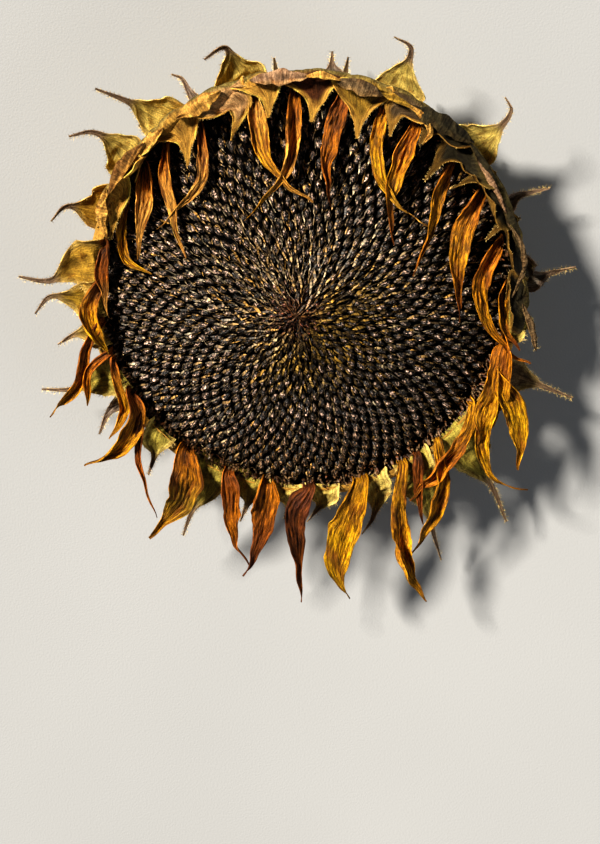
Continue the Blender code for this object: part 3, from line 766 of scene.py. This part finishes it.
def seed_faces():
    """Triangles of one seed: a fan round its top point, the bands between its rings and a flat foot."""
    faces = []
    for corner in range(SEED_SIDES):
        after = (corner + 1) % SEED_SIDES
        faces.append((0, 1 + corner, 1 + after))
        for ring in range(len(SEED_RINGS) - 1):
            a = 1 + ring * SEED_SIDES + corner
            b = 1 + ring * SEED_SIDES + after
            faces += [(a, a + SEED_SIDES, b), (b, a + SEED_SIDES, b + SEED_SIDES)]
    foot = 1 + (len(SEED_RINGS) - 1) * SEED_SIDES
    faces += [(foot, foot + corner + 1, foot + corner) for corner in range(1, SEED_SIDES - 1)]
    return np.array(faces)


def signed_power(value, power):
    return math.copysign(abs(value) ** power, value)


def make_seeds(material):
    """The seeds, each a top point with rings of points below it, and each a little different."""
    draw = np.random.default_rng(11)
    tops, out, side, normals, pitch, share = seed_frames()
    turn = draw.normal(0, SEED_TILT, SEED_COUNT)[:, None]
    out, side = out * np.cos(turn) + side * np.sin(turn), side * np.cos(turn) - out * np.sin(turn)
    lean = draw.normal(0.0, SEED_TILT, (SEED_COUNT, 2))
    normals = unit(normals + out * lean[:, :1] + side * lean[:, 1:])
    scale = pitch / COMMON_PITCH
    long = pitch * SEED_LENGTH_SHARE * draw.normal(1.0, SEED_SIZE_SCATTER[0], SEED_COUNT)
    wide = pitch * SEED_WIDTH_SHARE * draw.normal(1.0, SEED_SIZE_SCATTER[1], SEED_COUNT)
    tops = tops + normals * (draw.normal(-0.1, 0.22, SEED_COUNT) * scale)[:, None]
    colours = seed_colours(tops, share, draw)
    number = np.arange(SEED_COUNT)
    points = [tops]
    tints = [colours]
    grains = [np.column_stack([np.zeros((SEED_COUNT, 2)), number])]
    for spread, drop in SEED_RINGS:
        lit = max(0.0, 1 - FLANK_SHADE * abs(drop))
        for corner in range(SEED_SIDES):
            angle = 2 * math.pi * corner / SEED_SIDES
            ahead = signed_power(math.cos(angle), SEED_OUTLINE_POWERS[0])
            beside = signed_power(math.sin(angle), SEED_OUTLINE_POWERS[1])
            reach_out = long * spread * ahead * draw.normal(1.0, 0.03, SEED_COUNT)
            reach_side = wide * spread * beside * draw.normal(1.0, 0.04, SEED_COUNT)
            rough = draw.normal(0, SEED_ROUGHNESS, SEED_COUNT)
            rounding = 0.5 * abs(ahead) * spread**2 + 0.9 * abs(beside) * spread**1.5
            height = (drop + rough - rounding) * scale
            flat = out * reach_out[:, None] + side * reach_side[:, None]
            points.append(tops + flat + normals * height[:, None])
            # painted shade: each lower ring is blended further towards near black, as the shadow between the
            # seeds
            tints.append(blend(tone("seed_flank_shade"), colours, lit))
            grains.append(np.column_stack([reach_side, reach_out, number]))
    size = 1 + len(SEED_RINGS) * SEED_SIDES
    every = seed_faces()[None] + (number * size)[:, None, None]
    piece = Piece()
    stacks = [np.stack(values, axis=1).reshape(-1, 3) for values in (points, tints, grains)]
    piece.add(stacks[0], every.reshape(-1, 3), *stacks[1:])
    piece.build("seeds", material, "seed_disc", sharp=28)


def seed_colours(tops, share, draw):
    """Grey bloom in uneven amounts, darker inwards, purple-brown in the middle and red-brown low down."""
    bloom = np.clip(draw.normal(0.5, 0.3, len(tops)), 0.05, 1)[:, None]
    colours = blend(tone("slate"), tone("lilac"), bloom)
    colours = colours * (1 - 0.4 * climb(share, 0.62, 0.32))[:, None]
    colours = blend(colours, tone("plum"), climb(share, 0.2, 0.06)[:, None])
    lower = np.minimum(climb(-tops[:, 1], 60, 100), 0.6)[:, None]
    return blend(colours, tone("umber") * 0.8, lower)


def make_seed_bed(material):
    """The bed that the seeds stand in, closed below, nearly black as painted shade in the gaps between the
    seeds.
    """
    radii = np.linspace(0.5, DISC_RADIUS, BED_RINGS)
    heights = np.array([dome_height(radius) for radius in radii]) - BED_DEPTH
    radii = np.append(radii, DISC_RADIUS)
    heights = np.append(heights, RIM_HEIGHT - SEED_LAYER)
    radius, angle, height = ring_grid(radii, heights, BED_SEGMENTS)
    rings = np.stack([radius * np.cos(angle), radius * np.sin(angle), height], axis=-1)
    ends = [(0, 0, dome_height(0) - BED_DEPTH), (0, 0, RIM_HEIGHT - SEED_LAYER + DOME_HEIGHT)]
    points = np.concatenate([rings.reshape(-1, 3), ends])
    top = len(points) - 2
    step = np.arange(BED_SEGMENTS)
    after = (step + 1) % BED_SEGMENTS
    foot = BED_RINGS * BED_SEGMENTS
    faces = [
        ring_faces(BED_RINGS + 1, BED_SEGMENTS)[:, ::-1],
        np.stack([np.full(BED_SEGMENTS, top), step, after], axis=1),
        np.stack([foot + after, foot + step, np.full(BED_SEGMENTS, top + 1)], axis=1),
    ]
    piece = Piece()
    # painted shade: the bed takes the near-black tone so that the gaps between the seeds show as shadow
    piece.add(points, np.concatenate(faces), tone("dark"), points)
    piece.build("shaded_seed_bed", material, "seed_disc")


def make_chaff(material):
    """Dry scales between the seeds, on edge along both flanks and with a point at the outer end."""
    draw = np.random.default_rng(23)
    tops, out, side, normals, pitch, share = seed_frames()
    count = len(tops)
    piece = Piece()
    inner = climb(share, 0.52, 0.17)[:, None]
    heart = climb(share, 0.17, 0.10)[:, None]
    olive = (climb(tops[:, 0] - tops[:, 1], -4, 22) * climb(share, 0.62, 0.32))[:, None]
    low = climb(-tops[:, 1:2], 0, 60)
    wide = pitch[:, None]

    def scattered(middle, scatter):
        return draw.normal(middle, scatter, (count, 1))

    def colours():
        """Of the scales' roots and tips: amber on the lower right of the inner seeds, dark in the middle,
        with the roots nearly black as painted shade down between the seeds.
        """
        pale = blend(tone("pith"), tone("tan"), draw.uniform(0, 1, (count, 1)))
        pale = blend(pale, tone("amber"), 0.9 * olive)
        bright = np.clip(scattered(0.5, 0.40) + 0.06 * inner + 0.1 * olive - 0.2 * low, 0.02, 1.3)
        tips = blend(tone("bark") * 0.5, pale, bright)
        tips = tips * (1 - 0.8 * heart) + tone("plum") * 0.5 * heart
        # painted shade: the roots are nearly black where they sit down between the seeds
        return tips * 0.05 + tone("dark"), tips

    for hand in (-1, 1):
        start = tops + side * hand * wide * scattered(0.37, 0.04)
        start = start + out * wide * scattered(0.50, 0.10) - normals * wide * 0.30
        rise = scattered(0.25, 0.08) + 0.18 * inner
        ways = -out + normals * rise + side * scattered(-0.10 * hand, 0.08)
        lengths = pitch * draw.normal(1.15, 0.18, count) * (1 + 0.7 * inner[:, 0])
        swell = 1 + 0.6 * olive[:, 0] + 0.4 * inner[:, 0]
        widths = pitch * draw.uniform(0.12, 0.28, count) * swell
        ups = side * hand + normals * scattered(0.9, 0.4)
        roots, tips = colours()
        sway = scattered(0, 0.05) * (1 + 0.8 * inner)
        spikes(piece, start, ways, ups, lengths, widths, 0.25, -0.10, roots, tips, (0.5, 0.9, 1.0, 0.7), sway)
    for _ in range(CHAFF_POINTS):
        start = tops + out * wide * scattered(0.62, 0.06) - normals * wide * 0.38
        start = start + side * wide * scattered(0, 0.16)
        rise = scattered(0.85, 0.22)
        ways = -out * 0.55 + normals * rise + side * scattered(0, 0.35)
        lengths = pitch * draw.uniform(0.5, 0.8, count)
        widths = pitch * draw.uniform(0.10, 0.18, count)
        ups = out + side * scattered(0, 0.6)
        roots, tips = colours()
        spikes(piece, start, ways, ups, lengths, widths, 0.3, -0.25, roots, tips, (0.9, 1.0, 0.8, 0.5))
    piece.build("chaff", material, "seed_disc", sharp=50)


def petal_widths(petal, count):
    """Slim at the root, widest a little before the share that narrow gives, and drawn out to the tip."""
    tail = 1 - petal.narrow
    stops = (0, 0.14, petal.narrow - 0.22, petal.narrow, petal.narrow + 0.45 * tail, 1)
    shares = np.array((0.4, 0.5, 1, 0.84, 0.36, 0.07))
    return softened(np.interp(np.linspace(0, 1, count), stops, shares * petal.width), 10)


def section_heights(section, places):
    stops, heights = zip(*section)
    return softened(np.interp(places, stops, heights), 4)


def petal_spine(petal):
    """A petal's middle line: up from its root beside the seeds, then along its path."""
    angle = math.radians(petal.root)
    first = seen_at(*petal.path[0], top_height)
    lean = -PETAL_LEAN_IN if first.xy.length < PETAL_RADIUS else PETAL_LEAN_OUT
    on_edge = abs(math.sin(math.radians(petal.twist)))
    lift = PETAL_CLEARANCE + TWIST_LIFT * petal.width * on_edge
    spine = [
        polar(angle, PETAL_RADIUS, RIM_HEIGHT - ROOT_DEPTH),
        polar(angle, PETAL_RADIUS, RIM_HEIGHT + 1),
        polar(angle, PETAL_RADIUS + lean, RIM_HEIGHT + PETAL_RISE),
    ]
    spine += [seen_at(x, y, lambda radius: top_height(radius) + lift) for x, y in petal.path]
    return smooth_path(spine, PETAL_STEP)


def add_petal(piece, index, petal, draw):
    """A thin sheet with ribs and crumples, curled edges and a tip that turns at random."""
    spine = petal_spine(petal)
    columns = PETAL_COLUMNS if petal.width > SLIM_PETAL_WIDTH else SLIM_PETAL_COLUMNS
    share, run, along, across, far = blade_grid(spine, columns)
    loose = climb(share, 0.3, 1)
    spine = spine + np.stack([ripple(draw, run / 4) * 0.55 * loose for _ in range(3)], axis=1)
    widths = petal_widths(petal, len(spine)) * (1 + 0.05 * ripple(draw, run / 4))
    full = (widths / petal.width)[:, None]
    broad = min(1.0, petal.width / 10)
    ribs = max(3.0, petal.width / RIB_PITCH)
    phase = math.pi * ribs * across * (0.6 + 0.4 * full) + 1.5 * ripple(draw, far / 7, across * 1.4)
    ridges = 1 - 2 * abs(np.sin(phase / 2)) ** 0.8
    ridges = ridges * (0.7 + 0.45 * ripple(draw, far / 5, across * 1.6))
    small = ripple(draw, far / 2, across * 9)
    crumple = crease(draw, far / 4, across * 3.5)
    edge = climb(abs(across), 0.5, 1) ** 2
    roll = edge * np.sign(across) * ripple(draw, far / 12, across * 0.8)
    curl = edge * (0.6 + ripple(draw, far / 9, across * 0.6))
    heights = section_heights(PETAL_SECTION, across[0])[None, :] * widths[:, None] * climb(along, 0, 1 / 3)
    heights = heights + full * (RIB_HEIGHT * ridges + 0.10 * small + PETAL_CRUMPLE * crumple)
    heights = heights + full * broad * (EDGE_CURL * curl + EDGE_ROLL * roll)
    reach = across * (widths / 2)[:, None] * (1 + 0.03 * ripple(draw, far / 1.6, across * 2))
    reach = reach * (1 - 0.14 * edge * abs(curl + roll))
    tip = climb(share, 0.66, 1) ** 2
    tip_turn = tip * draw.uniform(-PETAL_TIP_TURN, PETAL_TIP_TURN)
    twists = petal.twist * share + tip_turn + 14 * ripple(draw, run / 5) * loose
    sheet = blade_sheet(spine, math.radians(petal.root), reach, heights, PETAL_SETTLING, twists)
    colours = petal_colours(petal, along, across, far, ridges, edge, draw)
    piece.add_sheet(sheet, PETAL_THICKNESS, colours, across * petal.width / 2, far, index)


def petal_colours(petal, along, across, far, ridges, edge, draw):
    """The petal's three tones along it, darker at its root as painted shade, darker in its furrows as brown
    and painted shade, darker in its stains, and lighter at its edges as paler margins and a painted
    highlight.
    """
    first, second, third = (tone(name) for name in petal.tones.split())
    knots = (0.0, 0.12, 0.26, 0.58, 0.9, 1.0)
    # painted shade: the root end starts at half its first tone, where it lies below the seeds' edge
    stops = np.array((first * 0.5, first, first, second, third, third * 0.4 + tone("brown") * 0.4))
    base = np.stack([np.interp(along, knots, stops[:, channel]) for channel in range(3)], axis=-1)
    # the furrows are darker and browner, partly brown of their own and partly painted shade
    furrow = climb(ridges, 1, -1)[..., None] ** 1.5
    stain = climb(ripple(draw, far / 4, across * 2.4), 0.25, 1.25)[..., None]
    base = base * (1.15 - 0.80 * furrow) + tone("brown") * 0.25 * furrow
    base = blend(base, tone("brown"), 0.7 * stain)
    # the curled edges are lighter, partly paler of their own and partly a painted highlight
    return base * (1 + 0.30 * edge[..., None])


def make_petals(material):
    draw = np.random.default_rng(5)
    piece = Piece()
    for index, petal in enumerate(PETALS):
        add_petal(piece, index, petal, draw)
    piece.build("ray_petals", material, "petals", sharp=70)


def bract_widths(width, count, broad_until):
    """Broad for this share of the length, then drawn in quickly to a thin tail."""
    tail = max(LEAST_TAIL, TAIL_SHARE * width)
    tail_from = broad_until + 0.45 * (1 - broad_until)
    stops = (0, broad_until, 0.5 * (broad_until + tail_from), tail_from, 1)
    shares = (width, width, 0.52 * width, 1.7 * tail, 0.4 * tail)
    return softened(np.interp(np.linspace(0, 1, count), stops, shares), 4)


def folded_widths(width, count):
    """Broad over the rim, then hollow-sided down to a short tail."""
    stops = (0, 0.48, 0.60, 0.70, 0.83, 1)
    shares = np.array((1.05, 1.1, 0.68, 0.38, 0.16, 0.035))
    return softened(np.interp(np.linspace(0, 1, count), stops, shares * width), 3)


def add_bract(
    piece, hairs, index, spine, root, widths, colours, draw, rough=0.5, cup=0.0, roll=0.8, hold=0.0
):
    """colours are those of the body's middle, its margin and its tail.

    rough, cup and roll are the millimetres that creases stand up, the middle sinks and margins turn up.
    """
    share, run, along, across, far = blade_grid(spine, BRACT_COLUMNS)
    width = widths.max()
    swell = (widths / width)[:, None]
    creases = crease(draw, far / 3, across * 2.2)
    small = crease(draw, far / 1.1, across * 5)
    veins = np.cos(across * 12 + 1.2 * ripple(draw, far / 5, across))
    inset = (widths / 2)[:, None] * (1 - abs(across))
    edge = climb(inset, LIP_WIDTH, 0) ** 1.5
    heights = section_heights(BRACT_SECTION, across[0])[None, :] * widths[:, None] * climb(along, 0, 1 / 3)
    uneven = 0.75 + 0.5 * ripple(draw, far / 2.5, across)
    heights = heights + swell * (rough * creases + 0.3 * rough * small + 0.08 * veins)
    past_fold = climb(along, 0.36, 0.56) if hold else 1.0
    heights = heights + swell * past_fold * (roll * edge * uneven - cup * (1 - across**2))
    reach = across * (widths / 2)[:, None] * (1 + 0.045 * ripple(draw, far / 1.4, across * 2))
    twists = ripple(draw, run / 6) * 7
    twists = twists + np.clip(share - 0.7, 0, 1) * draw.uniform(-BRACT_TAIL_TURN, BRACT_TAIL_TURN)
    sheet = blade_sheet(spine, math.radians(root), reach, heights, BRACT_SETTLING, twists, hold)
    middle, margin, tail = colours
    base = blend(middle, margin, climb(inset, 1.3 * LIP_WIDTH, 0.3 * LIP_WIDTH)[..., None])
    base = blend(base, tail, climb(swell, 0.3, 0.1)[..., None])
    if hold:
        wall = tone("green") * 0.4 + tone("bark") * 0.5
        base = blend(base, wall, climb(along, 0.42, 0.32)[..., None])
    # painted light and shade: lighter where creases and veins stand up and at the margins, darker in the
    # troughs; the margins are partly pale of their own
    base = base * (1 + 0.28 * creases + 0.12 * veins + 0.30 * edge)[..., None]
    piece.add_sheet(sheet, BRACT_THICKNESS, base, across * width / 2, far, index)
    add_fringe(hairs, sheet, FOLDED_HAIR_LENGTH if hold else OUTER_HAIR_LENGTH, draw)


def add_fringe(hairs, sheet, longest, draw):
    """Fine pale hairs along both margins."""
    rows = np.arange(4, len(sheet) - 1)
    for column, beside in ((0, 1), (-1, -2)):
        for _ in range(HAIRS_PER_STEP):
            part = draw.uniform(0, 1, len(rows))[:, None]
            bases = sheet[rows, column] * (1 - part) + sheet[rows + 1, column] * part
            outwards = unit(sheet[rows, column] - sheet[rows, beside])
            forwards = unit(sheet[rows + 1, column] - sheet[rows, column])
            ways = outwards + forwards * 0.6 + draw.normal(0, 0.35, (len(rows), 3))
            ups = np.cross(outwards, forwards) + 1e-3
            lengths = draw.uniform(0.3, 1.0, len(rows)) * longest
            widths = np.full(len(rows), HAIR_WIDTH)
            tints = np.tile(tone("straw"), (len(rows), 1))
            spikes(hairs, bases, ways, ups, lengths, widths, 0.3, 0.3, tints, tints, (1.0,))


def outer_spine(bract):
    """Bracts of the lower side come over the rim, and those of the upper side from behind it."""
    foot = RIM_HEIGHT + bract.level
    root_height = foot - ROOT_DEPTH
    start = [
        (back_radius(root_height) - ROOT_SINK, root_height),
        (back_radius(foot) + ROOT_PROUD, foot),
    ]
    if bract.level > 0:
        start = [(WALL_RADIUS - 1.5, RIM_HEIGHT - 1), (WALL_RADIUS + 2, RIM_HEIGHT + CREST + 1)]
    spine = [polar(math.radians(bract.root), *place) for place in start]
    spine += [
        seen_at(x, y, lambda radius: foot + bract.rise * max(0.0, radius - RIM_RADIUS))
        for x, y in bract.path
    ]
    return smooth_path(spine, BRACT_STEP)


def folded_spine(bract):
    angle = math.radians(bract.root)
    spine = [polar(angle, RIM_RADIUS + out, RIM_HEIGHT + up) for out, up in FOLD_PATH]
    spine += [seen_at(x, y, lambda radius: top_height(radius) + FOLD_CLEARANCE) for x, y in bract.path]
    return smooth_path(spine, BRACT_STEP)


def add_fold_back(piece, index, fold, draw):
    """The back of a fold, an arched strip along the rim with its veins across it.

    Its outer edge hangs down as a skirt, and its inner edge is turned up as a lip.
    """
    lift = FOLD_BACK_CLEARANCE + FOLD_STEP * (index % 2)
    places = [seen_at(x, y, lambda radius: top_height(radius) + lift) for x, y in fold.path]
    spine = smooth_path(places, FOLD_BACK_STEP)
    share, run, along, across, far = blade_grid(spine, FOLD_BACK_COLUMNS)
    widths = fold.width * (0.05 + np.sin(math.pi * share) ** 0.8) * 1.1
    widths = widths * (1 + 0.10 * ripple(draw, run / 2.5))
    reach = across * (widths / 2)[:, None] * (1 + 0.10 * ripple(draw, far / 1.5, across * 2))
    creases = crease(draw, far / 3.5, across * 2.0)
    ribbed = 0.3 if fold.tone == "tan" else 1.0
    skirt = climb(across, -0.5, -1)
    ribs = ribbed * (1 - 0.7 * skirt) * np.cos(far * 2.6 + 1.2 * ripple(draw, far / 2, across * 2))
    reach = reach + skirt * (widths / 4)[:, None]
    hang = FOLD_SKIRT * (fold.width > 4) * np.sin(math.pi * along) ** 0.5
    arch = (1 - across**2) * (widths * 0.22)[:, None] - skirt * hang
    turned_up = climb(across, 0.6, 1) * fold.width * 0.13
    heights = arch + turned_up + fold.width * 0.06 * creases + 0.13 * ribs
    tangents = unit(np.gradient(spine, axis=0))
    upright = np.array((0.0, 0.0, 1.0)) + unit(spine * (1, 1, 0)) * 0.35
    sides = unit(np.cross(tangents, upright))
    ups = np.cross(sides, tangents)
    sheet = spine[:, None] + reach[..., None] * sides[:, None] + heights[..., None] * ups[:, None]
    lip = climb(across, 0.45, 0.85)[..., None]
    outside = climb(skirt, 0, 0.625)[..., None]
    # the turned-up inner edge is made paler by fold.lip, partly its own pale edge and partly painted light,
    # weak on the shaded right side
    base = tone(fold.tone) + tone("ochre") * fold.lip * lip
    base = blend(base, tone("green") * 0.45 + tone(fold.tone) * 0.3, outside)
    # painted shade and light: darker towards the strip's ends, where it tucks in among its neighbours,
    # lighter where creases and ribs stand up and darker between them
    ends = climb(np.minimum(far, run[-1] - far), 0, 3.0)
    base = base * ((0.25 + 0.75 * ends) * (1 + 0.40 * creases + 0.16 * ribs))[..., None]
    piece.add_sheet(sheet, BRACT_THICKNESS, base, far, across * fold.width / 2, index)


def make_bracts(material, hair_material):
    """The outer bracts, the folded ones with the backs of their folds, the back row and all hairs."""
    draw = np.random.default_rng(17)
    outer = Piece()
    folded = Piece()
    hairs = Piece()
    for index, bract in enumerate(OUTER_BRACTS):
        middle = tone(bract.tone)
        trim = tone("lilac") if bract.tone == "grey" else tone("straw")
        colours = (middle, middle * 0.5 + trim * 0.5, tone("bark") * 0.7 + tone("lilac") * 0.4)
        spine = outer_spine(bract)
        widths = bract_widths(bract.width, len(spine), OUTER_BROAD)
        add_bract(outer, hairs, index, spine, bract.root, widths, colours, draw, 0.5, 0.8, 1.2)
    for index, bract in enumerate(FOLDED_BRACTS):
        lit = FOLD_LIGHT.get(bract.tone, 1.0)
        colours = (tone(bract.tone) * 0.8, tone("ochre") * 1.35 * lit, tone("ochre") * 1.1 * lit)
        spine = folded_spine(bract)
        widths = folded_widths(bract.width, len(spine))
        shape = (0.7, -bract.hollow, FOLDED_ROLL, FOLDED_HOLD)
        add_bract(folded, hairs, FIRST_FOLDED + index, spine, bract.root, widths, colours, draw, *shape)
    for index, fold in enumerate(FOLD_BACKS):
        add_fold_back(folded, FIRST_FOLD_BACK + index, fold, draw)
    scatter = random.Random(7)
    for index in range(BACK_ROW_COUNT):
        place = index + scatter.uniform(-BACK_ROW_ANGLE_SCATTER, BACK_ROW_ANGLE_SCATTER)
        angle = 2 * math.pi * place / BACK_ROW_COUNT
        tip = [middle + scatter.uniform(-by, by) for middle, by in zip(BACK_ROW_TIP, BACK_ROW_TIP_SCATTER)]
        spine = smooth_path([polar(angle, *point) for point in (*BACK_ROW_PATH, tip)], BRACT_STEP)
        colours = (tone("green") * 0.9, tone("ochre"), tone("bark"))
        widths = bract_widths(BACK_ROW_WIDTH, len(spine), BACK_BROAD)
        number = FIRST_BACK_ROW + index
        add_bract(outer, hairs, number, spine, math.degrees(angle), widths, colours, draw)
    outer.build("outer_bracts", material, "receptacle", sharp=45)
    folded.build("folded_bracts", material, "receptacle", sharp=45)
    hairs.build("bract_hairs", hair_material, "receptacle", sharp=80)


def make_body(material):
    """The receptacle's rippled back with its cut stem, its rim and its inner wall."""
    radii, heights = (np.array(values) for values in zip((0.0, 0.0), *BACK_PROFILE))
    run = np.concatenate([[0], np.cumsum(np.hypot(np.diff(radii), np.diff(heights)))])
    fine = np.linspace(0, run[-1], BODY_RINGS)
    radius = softened(np.interp(fine, run, radii), 3)
    height = softened(np.interp(fine, run, heights), 3)
    height[radius < FLAT_SPOT_RADIUS] = 0.0
    ring_radius, angle, ring_height = ring_grid(radius, height, BODY_SEGMENTS)
    wrap = np.sin(angle * 23 + 2 * np.sin(angle * 5)) + 0.6 * np.sin(angle * 41 + np.sin(angle * 7))
    strength = climb(ring_radius, 30, 80) * 0.55
    fade = climb(ring_height, RIM_HEIGHT + 1, RIM_HEIGHT - 3)
    lift = wrap * strength * fade
    ring_height = np.where(ring_radius > FLAT_SPOT_RADIUS + 2, np.maximum(ring_height + lift, 0.4), 0.0)
    points = np.stack([ring_radius * np.cos(angle), ring_radius * np.sin(angle), ring_height], axis=-1)
    points[0] = 0.0
    skin = tone("green") * 0.8 * (1 + 0.2 * wrap[..., None])
    tints = blend(skin, tone("ochre") * 0.75, climb(ring_height, 20, 34)[..., None])
    cut = climb(ring_radius, FLAT_SPOT_RADIUS, FLAT_SPOT_RADIUS - 3)[..., None]
    tints = blend(tints, tone("bark"), cut)
    tints = blend(tints, tone("pith"), climb(ring_radius, PITH_RADIUS, PITH_RADIUS - 3)[..., None])
    grains = np.stack([angle * 60, ring_radius, ring_height], axis=-1)
    piece = Piece()
    faces = ring_faces(BODY_RINGS, BODY_SEGMENTS)
    piece.add(points.reshape(-1, 3), faces, tints.reshape(-1, 3), grains.reshape(-1, 3))
    piece.build("receptacle_body", material, "receptacle", sharp=70)


def make_collar(material):
    """Withered florets and scales packed between the outermost seeds and the bracts."""
    draw = np.random.default_rng(31)
    piece = Piece()
    count = COLLAR_FLORETS
    angles = draw.uniform(0, 2 * math.pi, count)
    radii = draw.uniform(DISC_RADIUS - 3.0, WALL_RADIUS + 2.0, count)
    out = np.column_stack([np.cos(angles), np.sin(angles), np.zeros(count)])
    side = np.column_stack([-np.sin(angles), np.cos(angles), np.zeros(count)])
    bases = out * radii[:, None]
    bases[:, 2] = RIM_HEIGHT - 3.5
    ways = np.column_stack([np.zeros((count, 2)), np.ones(count)])
    ways = ways + out * draw.normal(0.15, 0.4, count)[:, None] + side * draw.normal(0, 0.45, count)[:, None]
    lengths = draw.uniform(4.0, 7.0, count)
    widths = draw.uniform(0.7, 1.9, count)
    warm = draw.uniform(0, 1, count)[:, None]
    tips = blend(tone("bark"), tone("brown"), warm)
    # painted shade: the florets' feet are nearly black, deep among the seeds and bracts
    roots = tone("dark") + tips * 0.2
    spikes(piece, bases, ways, out, lengths, widths, 0.4, 0.25, roots, tips, (0.9, 1.0, 0.85, 0.6))
    piece.build("collar_florets", material, "petals", sharp=60)


def make_floor():
    """Plain pale paper, far wider than the picture."""
    width = 40.0  # metres
    bpy.ops.mesh.primitive_plane_add(size=width)
    floor = bpy.context.object
    floor.name = "floor"
    paint = Paint("floor_paper", 0.85, 0.2)
    coordinates = paint.tree.nodes.new("ShaderNodeTexCoord").outputs["Object"]
    cloud = paint.noise(coordinates, 3.0, 3.0, 0.5)
    tooth = paint.noise(coordinates, 900.0, 2.0, 0.5)
    darker = (0.385, 0.39, 0.395)
    paler = (0.42, 0.425, 0.43)
    colour = paint.ramp(cloud, (0.3, darker), (0.7, paler))
    floor.data.materials.append(paint.finish(colour, paint.bump(tooth, 0.0001)))


def add_light(name, place, kind, strength, colour, **settings):
    """A light at a place in metres, turned towards the head."""
    light = bpy.data.lights.new(name, kind)
    light.energy = strength
    light.color = colour
    for setting, value in settings.items():
        setattr(light, setting, value)
    obj = bpy.data.objects.new(name, light)
    obj.location = place
    aim = Vector((0, 0, 0.03)) - Vector(place)
    obj.rotation_euler = aim.to_track_quat("-Z", "Y").to_euler()
    bpy.context.scene.collection.objects.link(obj)


def make_lights():
    """A warm soft-edged key from the upper left of the face and a cool weak fill from the lower right."""
    warm = (1.0, 0.94, 0.84)
    cool = (0.92, 0.96, 1.0)
    add_light("key", (-1.95, 1.6, 1.95), "SUN", 7.4, warm, angle=math.radians(9))
    add_light("fill", (2.4, -1.5, 1.5), "AREA", 22.0, cool, shape="DISK", size=1.6)
    world = bpy.data.worlds.new("studio")
    world.use_nodes = True
    background = world.node_tree.nodes["Background"]
    background.inputs["Color"].default_value = (0.92, 0.95, 1.0, 1.0)
    background.inputs["Strength"].default_value = 0.06
    bpy.context.scene.world = world
    bpy.context.scene.view_settings.view_transform = "Standard"
    bpy.context.scene.view_settings.look = "Medium High Contrast"


def make_camera():
    """Looks along the photograph's own line, with the head in the upper part of a tall picture."""
    picture_height = 413.0  # millimetres across the rim's plane from the picture's bottom to its top
    picture_centre = (-2.5, -64.0)
    eye = viewpoint()
    view = (face_point(*picture_centre) - eye).normalized()
    right = view.cross(Vector((0, 1, 0))).normalized()
    up = right.cross(view)
    camera = bpy.data.cameras.new("camera")
    camera.sensor_fit = "AUTO"
    camera.sensor_width = 36.0
    camera.lens = camera.sensor_width * VIEW_DISTANCE / picture_height
    obj = bpy.data.objects.new("camera", camera)
    obj.location = eye * MM
    obj.rotation_euler = Matrix((right, up, -view)).transposed().to_euler()
    bpy.context.scene.collection.objects.link(obj)
    bpy.context.scene.camera = obj


make_seeds(seed_paint())
make_seed_bed(back_paint("seed_bed_fine", 0.03))
chaff = chaff_paint()
make_chaff(chaff)
make_petals(petal_paint())
make_bracts(bract_paint(), chaff)
make_body(back_paint("back_fine"))
make_collar(chaff)
make_floor()
make_lights()
make_camera()
